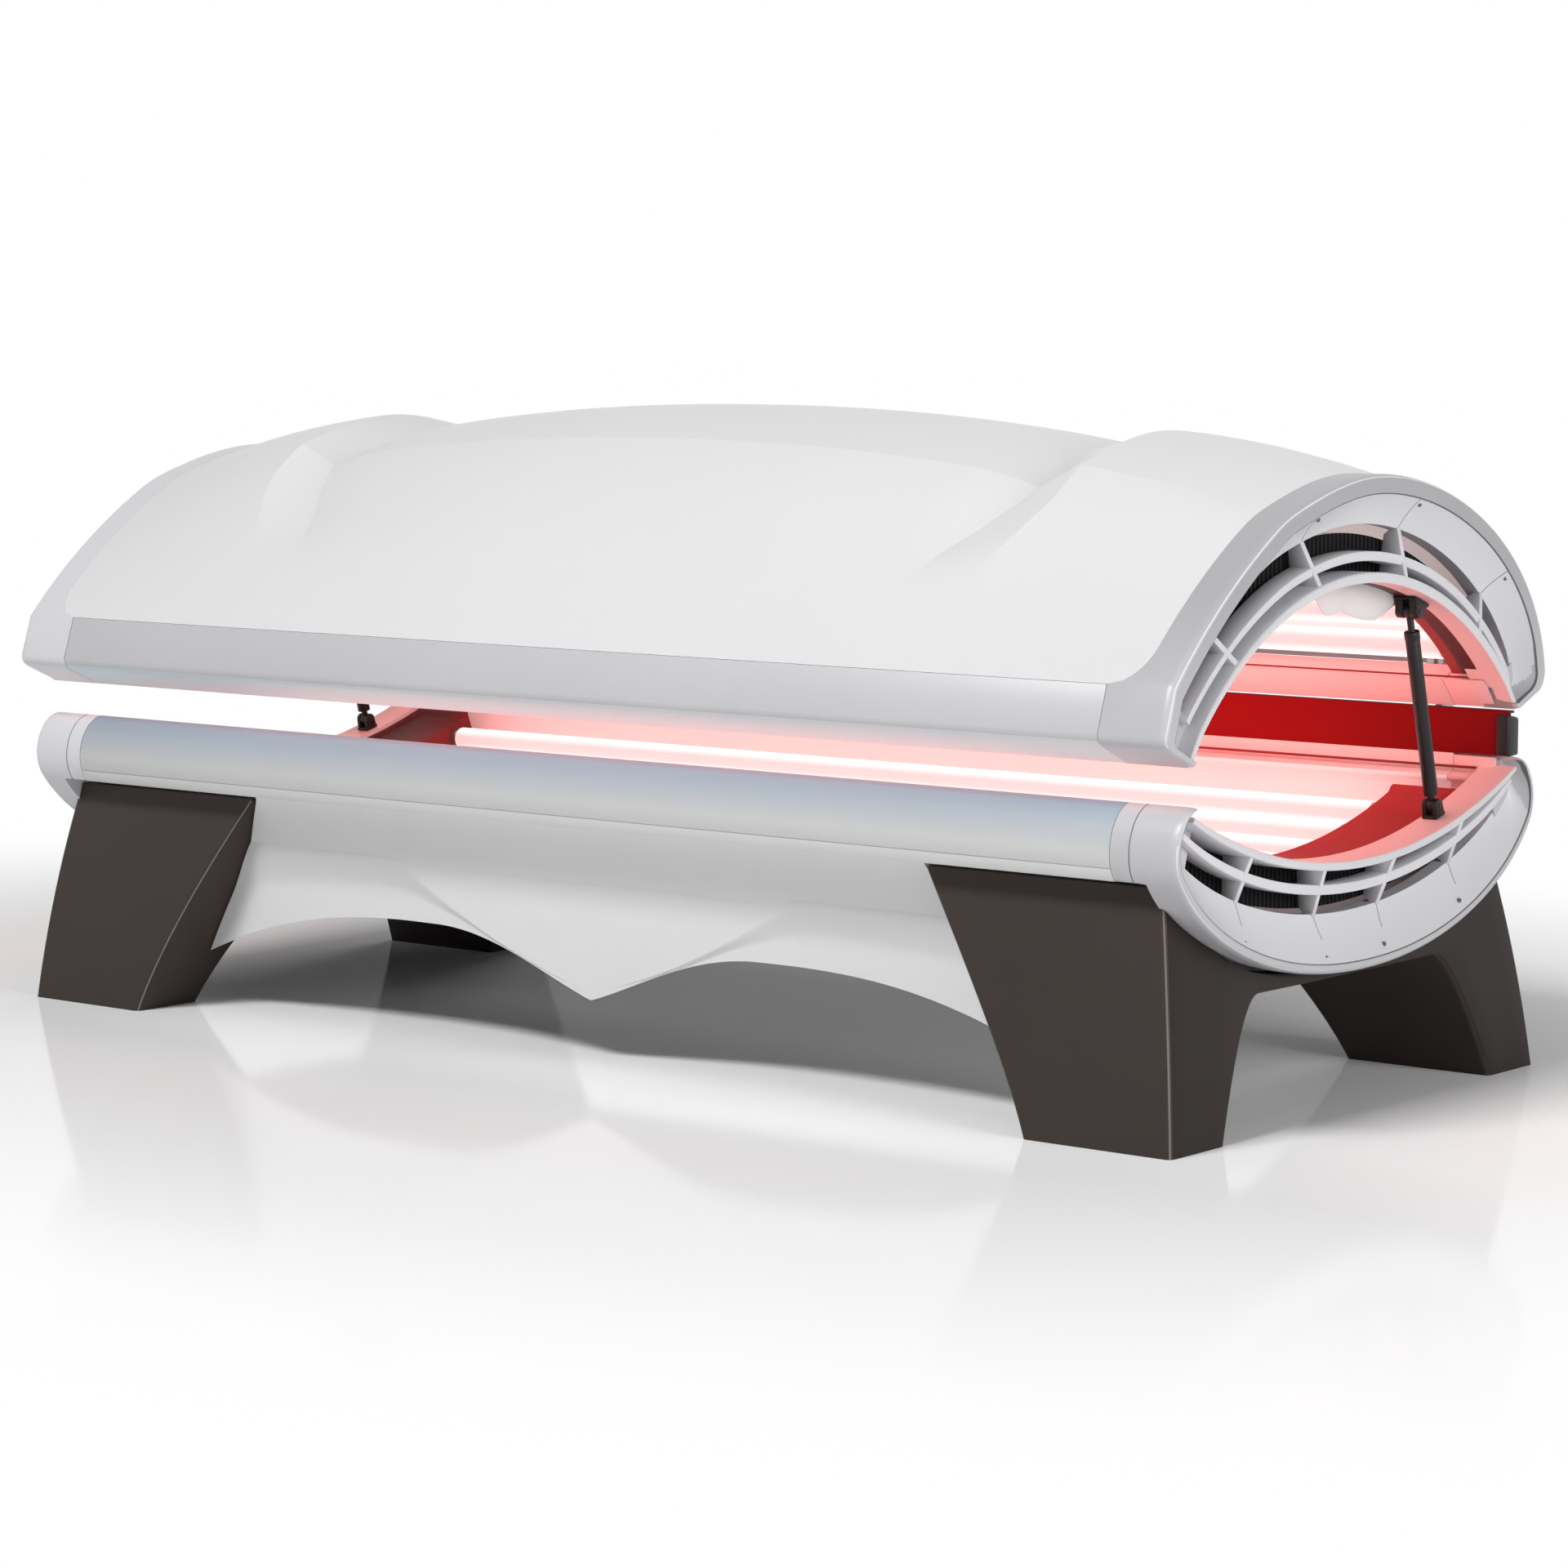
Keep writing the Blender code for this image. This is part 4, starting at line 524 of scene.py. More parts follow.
def tub_contour():
    """Outside of the tub from its front edge to its rear edge."""
    low = ((-TUB_FLAT - TUB_BEND, TUB_FLOOR), (-TUB_FLAT, TUB_FLOOR))
    side = curve(TUB_EDGE, TUB_SIDE, *low, BELLY_STEPS)
    return side + mirrored(side)


def crest_rise(x):
    """Height of the canopy's crest over the front lip, along the length."""
    out = abs(x)
    if out < DIP_X:
        return part_way(CREST_MID, CREST_DIP, (out / DIP_X) ** CREST_BEND)
    if out < HUMP_X:
        return part_way(CREST_DIP, CREST_HUMP, ramp(out, DIP_X, HUMP_X))
    return part_way(CREST_HUMP, CREST_END, ((out - HUMP_X) / (SHELL_HALF - HUMP_X)) ** END_BEND)


def crest_sweep(x):
    """Height of the crest over the front lip without the two dips."""
    return part_way(CREST_MID, CREST_END, (abs(x) / SHELL_HALF) ** SWEEP_BEND)


def canopy_profile(x):
    """Outer section of the canopy shell at one place along the length."""
    lift = crest_rise(x) - CREST_END
    knots = [(y, LIP_Z + rise + lift * share) for y, rise, share in SHELL_SECTION]
    points = curve(*knots[:4], FACE_STEPS)
    for start, steps in ((3, TOP_STEPS), (6, BACK_STEPS)):
        points += curve(*knots[start:start + 4], steps)[1:]
    return points


def softened(points, share):
    """Profile of the shell with its brow rounded off by a share."""
    soft = [Vector(point) for point in points]
    for _ in range(BROW_PASSES):
        before = [point.copy() for point in soft]
        for i in range(FACE_STEPS - BROW_BEFORE, FACE_STEPS + BROW_AFTER):
            soft[i] = (before[i - 1] + before[i] * 2 + before[i + 1]) / 4
    return [tuple(Vector(point).lerp(smooth, share)) for point, smooth in zip(points, soft)]


def shell_end_x(z):
    """Where the shell ends: straight, but rounded off above the strip."""
    over = z - (LIP_Z + STRIP_TOP)
    if over >= CORNER_RADIUS:
        return SHELL_HALF
    into = CORNER_RADIUS - max(over, 0.0)
    return SHELL_HALF - CORNER_RADIUS + math.sqrt(CORNER_RADIUS ** 2 - into ** 2)


def strip_face():
    """Outside of the canopy's strip, from the lip up to its nose, with a small round at the lower edge."""
    nose = (-STRIP_Y, LIP_Z + STRIP_BOTTOM)
    bend = [(nose[0] + into, nose[1] - down) for into, down in STRIP_ROUND]
    return [(-LIP_Y, LIP_Z)] + curve(*bend, nose, BEND_STEPS)


def groove(angle, side):
    """Groove in a canopy rail for the edge of the clear sheet, at an angle on one side."""
    edge = angle + GROOVE_PLAY_ANGLE
    lip = edge - GROOVE_REACH_ANGLE
    return [arch(height, side * turn) for height, turn in (
        (-GROOVE_LIP, lip), (-GROOVE_PLAY, lip), (-GROOVE_PLAY, edge), (GROOVE_WALL, edge))]


def canopy_front_outline():
    """Section of the canopy's front rail: strip, lower lip and groove for the sheet."""
    foot, after = (Vector(point) for point in canopy_profile(SHELL_HALF)[:2])
    rise = (after - foot).normalized()
    top = foot - rise * GAP
    back = top + Vector((rise.y, -rise.x)) * 2 * SHELL_WALL
    return [tuple(top)] + strip_face()[::-1] + groove(ARCH_FRONT_ANGLE, -1) + [tuple(back)]


def canopy_rear_outline():
    """Section of the canopy's rear rail."""
    return groove(ARCH_REAR_ANGLE, 1) + [(REAR_RAIL_Y, REAR_RAIL_HIGH), (REAR_RAIL_Y, REAR_RAIL_LOW),
                                         (REAR_RAIL_Y - 2 * RAIL_WALL, REAR_RAIL_LOW)]


def rear_heel():
    """Outside of the canopy frame's rear end, from the shell's rear edge to the rear rail."""
    start = (SHELL_REAR_Y, LIP_Z + SHELL_REAR_RISE)
    end = (start[0] - HEEL_IN, start[1] - HEEL_DROP)
    handles = ((start[0], start[1] - HEEL_ROUND), (end[0] + HEEL_EASE[0], end[1] + HEEL_EASE[1]))
    bend = curve(start, *handles, end, BEND_STEPS)
    return bend[1:] + [(REAR_RAIL_Y, REAR_RAIL_LOW), (REAR_RAIL_Y - 2 * RAIL_WALL, REAR_RAIL_LOW)]


def bulged(top, foot):
    """Outer edge of a leg, standing proud of the straight line from its top to its foot."""
    third = (Vector(foot) - Vector(top)) / 3
    proud = Vector((LEG_BULGE, 0.0))
    return curve(top, tuple(Vector(top) + third + proud), tuple(Vector(foot) - third + proud), foot,
                 BULGE_STEPS)


def at_height(path, z):
    """First coordinate of a path of (coordinate, z) points at one height."""
    for (a0, z0), (a1, z1) in zip(path, path[1:]):
        if z1 <= z <= z0:
            return part_way(a0, a1, (z0 - z) / (z0 - z1))
    return path[0][0] if z > path[0][1] else path[-1][0]


def leg_edge_x(z):
    """How far from the middle the inner edge of a leg lies at one height."""
    return at_height(curve(*LEG_EDGE, LEG_STEPS), z)


def leg_out_x(z):
    """How far from the middle the outer edge of a leg lies at one height."""
    return at_height(bulged((LEG_TOP_OUT, LEG_TOP), (HALF_LENGTH, 0.0)), z)


def skirt_edge(x):
    """Height of the skirt's lower edge: a keel in the middle and a scallop on each side."""
    out = abs(x)
    if out < SCALLOP_HALF:
        rise = math.sin(out / SCALLOP_HALF * math.pi / 2) ** KEEL_BEND
        return part_way(KEEL_HEIGHT, SCALLOP_HEIGHT, rise)
    fall = ((out - SCALLOP_HALF) / (leg_edge_x(SKIRT_TAIL) - SCALLOP_HALF)) ** 3
    return part_way(SCALLOP_HEIGHT, SKIRT_TAIL, fall)


# Modelling

def select_only(*pieces):
    """Select some objects and no others, the first as the active one."""
    bpy.ops.object.select_all(action="DESELECT")
    for piece in pieces:
        piece.select_set(True)
    bpy.context.view_layer.objects.active = pieces[0]


def in_edit_mode(piece, *steps):
    """Run edit-mode steps on all of a piece."""
    select_only(piece)
    bpy.ops.object.mode_set(mode="EDIT")
    for step in steps:
        bpy.ops.mesh.select_all(action="SELECT")
        step()
    bpy.ops.object.mode_set(mode="OBJECT")


def face_out():
    """Turn the selected faces outwards."""
    bpy.ops.mesh.normals_make_consistent(inside=False)


def lofted(name, rings, round_ring=True, round_way=False):
    """Surface through rings of points: each ring closed or open, and the way through them too."""
    count = len(rings[0])
    columns = count + 1 if round_ring else count
    rows = rings + rings[:1] if round_way else rings
    bpy.ops.mesh.primitive_grid_add(x_subdivisions=columns - 1, y_subdivisions=len(rows) - 1)
    piece = bpy.context.object
    piece.name = name
    for i, ring in enumerate(rows):
        for j in range(columns):
            piece.data.vertices[i * columns + j].co = ring[j % count]
    steps = [lambda: bpy.ops.mesh.remove_doubles(threshold=1e-6)]
    if round_ring and not round_way:
        steps.append(lambda: bpy.ops.mesh.fill_holes(sides=0))
    in_edit_mode(piece, *steps, face_out)
    return piece


def bar(name, outline, start, end):
    """Straight bar of a (y, z) outline along X."""
    bpy.ops.mesh.primitive_circle_add(vertices=len(outline), fill_type="NGON")
    piece = bpy.context.object
    piece.name = name
    for vertex, (y, z) in zip(piece.data.vertices, outline):
        vertex.co = (start, y, z)
    run = {"value": (end - start, 0.0, 0.0)}
    in_edit_mode(piece, lambda: bpy.ops.mesh.extrude_region_move(TRANSFORM_OT_translate=run), face_out)
    return piece


def around(sides):
    """Directions at even steps round the Z axis."""
    turns = [2 * math.pi * i / sides for i in range(sides)]
    return [Vector((math.cos(turn), math.sin(turn), 0.0)) for turn in turns]


def tube(name, start, end, radius, sides=TUBE_SIDES, hole=0.0):
    """Round bar between two points, or a sleeve if it has a hole."""
    start, end = Vector(start), Vector(end)
    turn = (end - start).to_track_quat("Z", "Y")
    if hole:
        rings = [[start + turn @ (way * radius), end + turn @ (way * radius),
                  end + turn @ (way * hole), start + turn @ (way * hole)] for way in around(sides)]
        return lofted(name, rings, round_way=True)
    return lofted(name, [[place + turn @ (way * radius) for way in around(sides)] for place in (start, end)])


def use_modifier(piece, kind, **values):
    """Add a modifier, set it and apply it."""
    select_only(piece)
    bpy.ops.object.modifier_add(type=kind)
    modifier = piece.modifiers[-1]
    for key, value in values.items():
        setattr(modifier, key, value)
    bpy.ops.object.modifier_apply(modifier=modifier.name)


def round_edges(piece, width, segments=2, angle=34.0):
    """Bevel the edges that are sharper than an angle."""
    use_modifier(piece, "BEVEL", width=width, segments=segments, limit_method="ANGLE",
                 angle_limit=math.radians(angle), use_clamp_overlap=True)


def shade(piece, angle=32.0):
    """Smooth shading, broken at edges sharper than an angle."""
    select_only(piece)
    bpy.ops.object.shade_smooth_by_angle(angle=math.radians(angle))
    return piece


def joined(name, pieces):
    """One object of several."""
    select_only(*pieces)
    if len(pieces) > 1:
        bpy.ops.object.join()
    pieces[0].name = name
    return pieces[0]


def cut_by(piece, tool):
    """Take a helper's solid away from a piece, and remove the helper."""
    use_modifier(piece, "BOOLEAN", operation="DIFFERENCE", object=tool, solver="MANIFOLD")
    select_only(tool)
    bpy.ops.object.delete()


def twin(piece):
    """Mirror image of a right-hand piece for the left end of the bed."""
    select_only(piece)
    bpy.ops.object.duplicate()
    other = bpy.context.object
    other.name = piece.name.replace("_right", "_left")
    flip = partial(bpy.ops.transform.resize, value=(-1.0, 1.0, 1.0), center_override=(0.0, 0.0, 0.0))
    in_edit_mode(other, flip, bpy.ops.mesh.flip_normals)
    return other


def copied(node, name):
    """Copy of a CAD node, with its loose triangles merged and its flat faces whole."""
    piece = bpy.data.objects.new(name, frame["nodes"][node].data.copy())
    bpy.context.scene.collection.objects.link(piece)
    in_edit_mode(piece, lambda: bpy.ops.mesh.remove_doubles(threshold=1e-5),
                 lambda: bpy.ops.mesh.dissolve_limited(angle_limit=math.radians(0.4)))
    if piece.data.has_custom_normals:
        select_only(piece)
        bpy.ops.mesh.customdata_custom_splitnormals_clear()
    return piece


def wear(piece, *looks):
    """Give a piece its materials; the first covers all faces."""
    piece.data.materials.clear()
    for name in looks:
        piece.data.materials.append(look(name))
    return piece


def dress(piece, *looks, edge=0.0, segments=2, sharp=34.0, angle=32.0):
    """Round the sharp edges of a piece, shade it and give it its materials."""
    if edge:
        round_edges(piece, edge, segments, sharp)
    return wear(shade(piece, angle), *looks)


def paint(piece, index, test):
    """Give the faces whose centre and normal pass a test another of the piece's materials."""
    for face in piece.data.polygons:
        if test(face.center, face.normal):
            face.material_index = index


def settle(piece, body, slot, *nodes):
    """Fix a finished piece to its body, in place of CAD nodes."""
    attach(piece, body)
    if nodes:
        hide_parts(*nodes)


def settle_pair(piece, body, slot, node="", left_body=""):
    """Fix a right-hand piece and its mirror image, in place of a pair of CAD nodes if there is one."""
    other = twin(piece)
    settle(piece, body, slot, *([node + "_right"] if node else []))
    settle(other, left_body or body, slot, *([node + "_left"] if node else []))


def settle_copies(rows, edge):
    """Fix dressed copies of CAD nodes, given as node, body, finish and slot."""
    for node, body, finish, slot in rows:
        piece = dress(copied(node, node + "_dressed"), finish, edge=edge, sharp=40.0)
        settle(piece, body, slot, node)


# Materials

# Shared effects: detail and roughness of a noise, its stretch, and the part of its range that is used
EFFECTS = {"grain": (3.0, 0.5, (1.0, 1.0, 1.0), None),
           "patches": (2.0, 0.4, (1.0, 1.0, 1.0), (0.20, 0.80)),
           "lines": (4.0, 0.5, (0.04, 12.0, 12.0), None)}
PATCH_SCALE = 3.5
LINE_SCALE = 60.0
WEAVE_SCALE = 30.0
GRAIN_DEPTH = 0.0004
ROUGHNESS_SPREAD = 0.06

# Where colours change: heights, lengths, distances from the middle, depths in the weave
# Painted light on the bands: lighter low down, darker at the crown
BAND_LIGHT_RISE = (0.56, 0.74)
# Painted light on the bands: paler at the far end
BAND_FAR_LIGHT = (-RAIL_HALF, -0.9)
# Painted floor reflection on the strip's lip turns cooler towards the far end
LIP_FAR_REFLECTION = (-0.75, -0.15)
# Painted shade: the red covers darken towards the far end
RED_FAR_SHADE = (-1.0, -0.6)
# Painted reflection: the rails turn bluish towards the top
RAIL_TOP_REFLECTION = (RAIL_BOTTOM + 0.040, RAIL_TOP - 0.006)
RAIL_GROOVE = (RAIL_BOTTOM + 0.0185, RAIL_BOTTOM + 0.0190)
# Painted light: the rails are lighter along the bottom
RAIL_BOTTOM_LIGHT = (RAIL_BOTTOM + 0.0172, RAIL_BOTTOM + 0.0176)
# Painted shade: the vent mouldings darken deeper into the vents
VENT_SHADE = (1.054, 1.084)
SHROUD_REAR = (0.085, 0.105)
SHROUD_OUTER = (1.0320, 1.0335)
WEAVE = (0.75, 0.98)
TUBE_MIDDLE = (0.30, 0.80)

# Whiteness of the lamps' glow along the tube's sides and its middle
SIDE_WHITE = 0.35
CORE_WHITE = 0.90

DARK_RED = (0.085, 0.012, 0.012)
WHITE = (1.0, 1.0, 1.0)


def sizes():
    """Sizes that the user may change."""
    return bpy.context.scene.therapy_bed_sizes


def colours():
    """Colours that the user may change."""
    return bpy.context.scene.therapy_bed_colours


def tinted(colour):
    """Colour given as numbers, as a property's name, or as a name with a tint."""
    if isinstance(colour[0], float):
        return colour
    name, tint = (colour, 1.0) if isinstance(colour, str) else colour
    tints = tint if isinstance(tint, tuple) else (tint, tint, tint)
    return tuple(part * share for part, share in zip(getattr(colours(), name), tints))


def feed(tree, node, inputs):
    """Set inputs of a node, each to a value or to the socket of another node."""
    for key, value in inputs.items():
        if isinstance(value, bpy.types.NodeSocket):
            tree.links.new(value, node.inputs[key])
        else:
            node.inputs[key].default_value = value


def add_node(tree, kind, inputs=None, **settings):
    """New shader node with its settings and its inputs."""
    node = tree.nodes.new("ShaderNode" + kind)
    for key, value in settings.items():
        setattr(node, key, value)
    feed(tree, node, inputs or {})
    return node


def blended(tree, mask, first, second):
    """Colour between two others by a mask, as a socket."""
    ends = [end if isinstance(end, bpy.types.NodeSocket) else (*end, 1.0) for end in (first, second)]
    return add_node(tree, "Mix", {0: mask, 6: ends[0], 7: ends[1]}, data_type="RGBA").outputs[2]


def ranged(tree, value, start, end, low=0.0, high=1.0, kind="LINEAR"):
    """Number mapped from one range to another, as a socket."""
    ends = {"Value": value, "From Min": start, "From Max": end, "To Min": low, "To Max": high}
    return add_node(tree, "MapRange", ends, interpolation_type=kind).outputs["Result"]


def calculated(tree, operation, *values):
    """Result of a calculation with numbers, as a socket."""
    return add_node(tree, "Math", dict(enumerate(values)), operation=operation).outputs["Value"]


def place_in(tree):
    """Place of a point on the bed, as a socket."""
    return add_node(tree, "TexCoord").outputs["Object"]


def along(tree, way):
    """Place of a point along an axis, its distance from the middle or its depth in a weave, as a socket."""
    if way == "weave":
        weave = {"Vector": place_in(tree), "Scale": WEAVE_SCALE}
        return add_node(tree, "TexWave", weave, bands_direction="Y").outputs["Fac"]
    parts = add_node(tree, "SeparateXYZ", {"Vector": place_in(tree)})
    return calculated(tree, "ABSOLUTE", parts.outputs["X"]) if way == "distance" else parts.outputs[way]


def effect_group(kind):
    """Shader group of a shared effect: a noise with its scale as input and a mask as output."""
    detail, roughness, stretch, used = EFFECTS[kind]
    tree = bpy.data.node_groups.new(kind, "ShaderNodeTree")
    for label, way in (("Scale", "INPUT"), ("Mask", "OUTPUT")):
        tree.interface.new_socket(name=label, in_out=way, socket_type="NodeSocketFloat")
    place = add_node(tree, "Mapping", {"Vector": place_in(tree), "Scale": stretch}).outputs["Vector"]
    scale = tree.nodes.new("NodeGroupInput").outputs["Scale"]
    noise = {"Vector": place, "Scale": scale, "Detail": detail, "Roughness": roughness}
    mask = add_node(tree, "TexNoise", noise).outputs["Fac"]
    if used:
        mask = ranged(tree, mask, *used, kind="SMOOTHSTEP")
    tree.links.new(mask, tree.nodes.new("NodeGroupOutput").inputs["Mask"])
    return tree


def effect(tree, kind, scale):
    """Shared effect inside a material, as the socket of its mask."""
    group = bpy.data.node_groups.get(kind) or effect_group(kind)
    return add_node(tree, "Group", {"Scale": scale}, node_tree=group).outputs["Mask"]


def studio_mask(tree):
    """1 for rays that see the surroundings straight, in a mirror or through glass, as a socket."""
    path = add_node(tree, "LightPath")
    seen = path.outputs["Is Camera Ray"]
    for label in ("Is Glossy Ray", "Is Transmission Ray"):
        seen = calculated(tree, "MAXIMUM", seen, path.outputs[label])
    return seen


def surface(label, colour, roughness, tone=0.94, grain=(600.0, 0.06), metallic=0.0, specular=0.5,
            lines=False, grades=(), more=()):
    """Principled material with patches or lines of tone and roughness over a fine grain.

    The grain has a scale and a strength. Each grade has a way, its range and the colours at its ends,
    where None stands for the colour so far. Other inputs of the shader go into more.
    """
    material = bpy.data.materials.new(label)
    material.use_nodes = True
    tree = material.node_tree
    patches = effect(tree, "lines", LINE_SCALE) if lines else effect(tree, "patches", PATCH_SCALE)
    plain = tinted(colour)
    face = blended(tree, patches, plain, tuple(part * tone for part in plain))
    for way, span, *ends in grades:
        first, second = (tinted(end) if end else face for end in ends)
        face = blended(tree, ranged(tree, along(tree, way), *span), first, second)
    rough, smooth = roughness * (1.0 + ROUGHNESS_SPREAD), roughness * (1.0 - ROUGHNESS_SPREAD)
    bump = {"Height": effect(tree, "grain", grain[0]), "Strength": grain[1], "Distance": GRAIN_DEPTH}
    feed(tree, tree.nodes["Principled BSDF"], {
        "Base Color": face, "Roughness": ranged(tree, patches, 0.0, 1.0, smooth, rough),
        "Normal": add_node(tree, "Bump", bump).outputs["Normal"],
        "Metallic": metallic, "Specular IOR Level": specular, **dict(more)})
    return material


def glowing():
    """Glowing tube, whiter along its middle; the light that it throws is redder than its glow."""
    material = surface("Glowing tube", (0.25, 0.20, 0.20), 0.30, tone=0.97)
    tree = material.node_tree
    parts = add_node(tree, "SeparateXYZ", {"Vector": add_node(tree, "TexCoord").outputs["Normal"]})
    middle = ranged(tree, calculated(tree, "ABSOLUTE", parts.outputs["Z"]), *TUBE_MIDDLE)
    tint = colours().glow
    side, core = ([part_way(part, 1.0, white) for part in tint] for white in (SIDE_WHITE, CORE_WHITE))
    cast = [part * sizes().glow_cast for part in tint]
    glow = blended(tree, studio_mask(tree), cast, blended(tree, middle, side, core))
    feed(tree, tree.nodes["Principled BSDF"],
         {"Emission Color": glow, "Emission Strength": sizes().glow_strength})
    return material


LOOKS = {
    # Canopy, skirt and tub
    "shell": partial(surface, "White lacquer", "shell", 0.34, 0.985, (260.0, 0.02), specular=0.14),
    # Painted reflection of the floor on the strip's downward faces: white, cooler towards the far end
    "lip": partial(surface, "Cool white lip", "shell", 0.38, 0.985, (260.0, 0.02), specular=0.14,
                   grades=[("X", LIP_FAR_REFLECTION, ("shell", (0.86, 1.0, 1.03)), "shell")]),
    "strip": partial(surface, "Satin grey strip", ("band", 1.26), 0.38, 0.97, (900.0, 0.06)),
    # Tub: painted shade, the shell's white darkened to grey under the bench
    "tub": partial(surface, "Grey casing", ("shell", 0.45), 0.5, 0.93, (900.0, 0.08)),
    # End frames
    "frame": partial(surface, "Pale grey moulding", "frame", 0.36, 0.96, (900.0, 0.10)),
    # Bands: painted light makes them lighter low down, darker at the crown and paler at the far end
    "band": partial(surface, "Silver-grey moulding", "band", 0.36, 0.96, (900.0, 0.10),
                    grades=[("Z", BAND_LIGHT_RISE, ("band", 1.20), ("band", 0.92)),
                            ("X", BAND_FAR_LIGHT, ("band", 1.55), None)]),
    # Vent mouldings: painted shade darkens them deeper into the vents
    "vent": partial(surface, "Dusty vent moulding", "frame", 0.40, 0.96, (900.0, 0.10),
                    grades=[("distance", VENT_SHADE, ("frame", 0.35), "frame")]),
    "gap": partial(surface, "Shadow gap", (0.16, 0.16, 0.17), 0.55, 0.8),
    "screen": partial(surface, "Dust screen", ("black", 0.4), 0.8, 0.6, (700.0, 0.1), specular=0.1,
                      grades=[("weave", WEAVE, ("black", 0.4), ("black", 2.5))]),
    # Rails and legs
    # Rails: painted reflection turns them bluish towards the top, painted light makes them lighter along the
    # bottom
    "rail": partial(surface, "Anodised aluminium", "rail", 0.45, 0.985, (700.0, 0.02), specular=0.08,
                    lines=True,
                    grades=[("Z", RAIL_TOP_REFLECTION, "rail", ("rail", (0.50, 0.62, 0.74))),
                            ("Z", RAIL_GROOVE, ("rail", 0.60), None),
                            ("Z", RAIL_BOTTOM_LIGHT, ("rail", 1.22), None)]),
    "leg": partial(surface, "Dark brown plastic", "leg", 0.42, 0.90, (1500.0, 0.10), specular=0.12),
    # Painted shade on the legs' outer sides: the leg plastic darkened
    "painted_shade_leg_side": partial(surface, "Deep brown plastic", ("leg", 0.62), 0.42, 0.90, (1500.0, 0.10),
                        specular=0.10),
    # Painted highlight on the legs' front corners: the leg plastic lightened
    "edge": partial(surface, "Polished brown edge", ("leg", 3.4), 0.30, 0.9),
    # Red pieces round the lamps, and painted lamp light on the pieces near them
    # Red covers: painted shade darkens them towards the far end
    "red": partial(surface, "Deep red cover", "red", 0.50, 0.9, (700.0, 0.05), specular=0.05,
                   grades=[("X", RED_FAR_SHADE, ("red", 0.14), "red")]),
    "panel": partial(surface, "Red panel", ("red", 0.58), 0.50, 0.9, specular=0.05),
    "seal": partial(surface, "Dark red seal", ("red", 0.55), 0.5, 0.8),
    "inset": partial(surface, "Dark red inset", DARK_RED, 0.40, 0.8),
    "shroud": partial(surface, "Lamp-end shroud", "shell", 0.35, 0.96,
                      grades=[("distance", SHROUD_OUTER, "red", DARK_RED),
                              ("Y", SHROUD_REAR, "shell", None)]),
    # Painted lamp light on faces that look into the tunnel
    "pink": partial(surface, "Pink-lit liner", (0.96, 0.62, 0.60), 0.42, 0.95),
    # Painted lamp light that glows, on the bench's rear rail inside the lamp chamber
    "blush": partial(surface, "Lamp-lit liner", (0.98, 0.78, 0.77), 0.42, 0.96,
                     more={"Emission Color": (1.0, 0.70, 0.68, 1.0), "Emission Strength": 0.20}),
    # Lamps and sheets
    "glow": glowing,
    # Reflector: its emission is a painted glow of the lamps' light
    "reflector": partial(surface, "Bright reflector", (0.88, 0.80, 0.80), 0.22, 0.95, metallic=0.4,
                         lines=True,
                         more={"Emission Color": (1.0, 0.86, 0.85, 1.0), "Emission Strength": 0.42}),
    "clear": partial(surface, "Clear acrylic", (1.0, 0.94, 0.94), 0.06, 0.97, (90.0, 0.01), specular=0.05,
                     more={"Alpha": 0.02, "IOR": 1.15}),
    # Metal and plastic of the mechanism
    "black": partial(surface, "Black enamel", "black", 0.38, 0.8, (900.0, 0.05), specular=0.3),
    "steel": partial(surface, "Bright steel", (0.46, 0.47, 0.49), 0.30, 0.85, (800.0, 0.05), 1.0, lines=True),
    "zinc": partial(surface, "Zinc sheet", (0.52, 0.53, 0.54), 0.45, 0.75, (120.0, 0.08), 0.9),
    "plastic": partial(surface, "Matt black plastic", "black", 0.5, 0.8, (1200.0, 0.12)),
}
MADE = {}


def look(name):
    """Material of one finish, made on first use."""
    if name not in MADE:
        MADE[name] = LOOKS[name]()
    return MADE[name]


# Pieces

def along_crease(x, share):
    """Place along the length of a column of the shell, so that the columns follow the creases."""
    valley = VALLEY_START + VALLEY_SWING * ramp(share, *VALLEY_SPAN)
    valley -= RETURN_SWING * ramp(share, *RETURN_SPAN)
    ridge = RIDGE_START + RIDGE_SWING * ramp(share, *RIDGE_SPAN)
    out = abs(x)
    if out < DIP_X:
        place = out * valley / DIP_X
    elif out < HUMP_X:
        place = part_way(valley, ridge, (out - DIP_X) / (HUMP_X - DIP_X))
    else:
        place = part_way(ridge, SHELL_HALF, (out - HUMP_X) / (SHELL_HALF - HUMP_X))
    return math.copysign(place, x)


def shell_column(x):
    """Outside of the shell along one of its columns, as (x, y, z): sweep of the crest and creases."""
    out, sweep = abs(x), crest_sweep(x)
    relief = crest_rise(x) - sweep
    crease = -CREASE_DEEPER * max(0.0, 1.0 - (DIP_X - out) / CREASE_REACH) ** 2
    if out > HUMP_X:
        crease = CREASE_LIP * max(0.0, 1.0 - (out - HUMP_X) / CREASE_REACH) ** 2
    elif out > DIP_X:
        share = (out - DIP_X) / (HUMP_X - DIP_X)
        relief = part_way(CREST_DIP, CREST_HUMP, share) - sweep
        crease = part_way(-CREASE_DEEPER, CREASE_LIP, share)
    points = []
    for index, ((y, low), (_, high)) in enumerate(zip(canopy_profile(SHELL_HALF), canopy_profile(0.0))):
        share = index / FACE_STEPS
        lift = (high - low) / (CREST_MID - CREST_END)
        rise = lift * (sweep - CREST_END + relief * ramp(share, *RELIEF_SPAN))
        fold = crease * ramp(share, *CREASE_BEGIN) * ramp(share, *CREASE_FINISH)
        points.append((along_crease(x, share), y, low + rise + fold))
    return softened(points, ramp(out, *BROW_FADE))


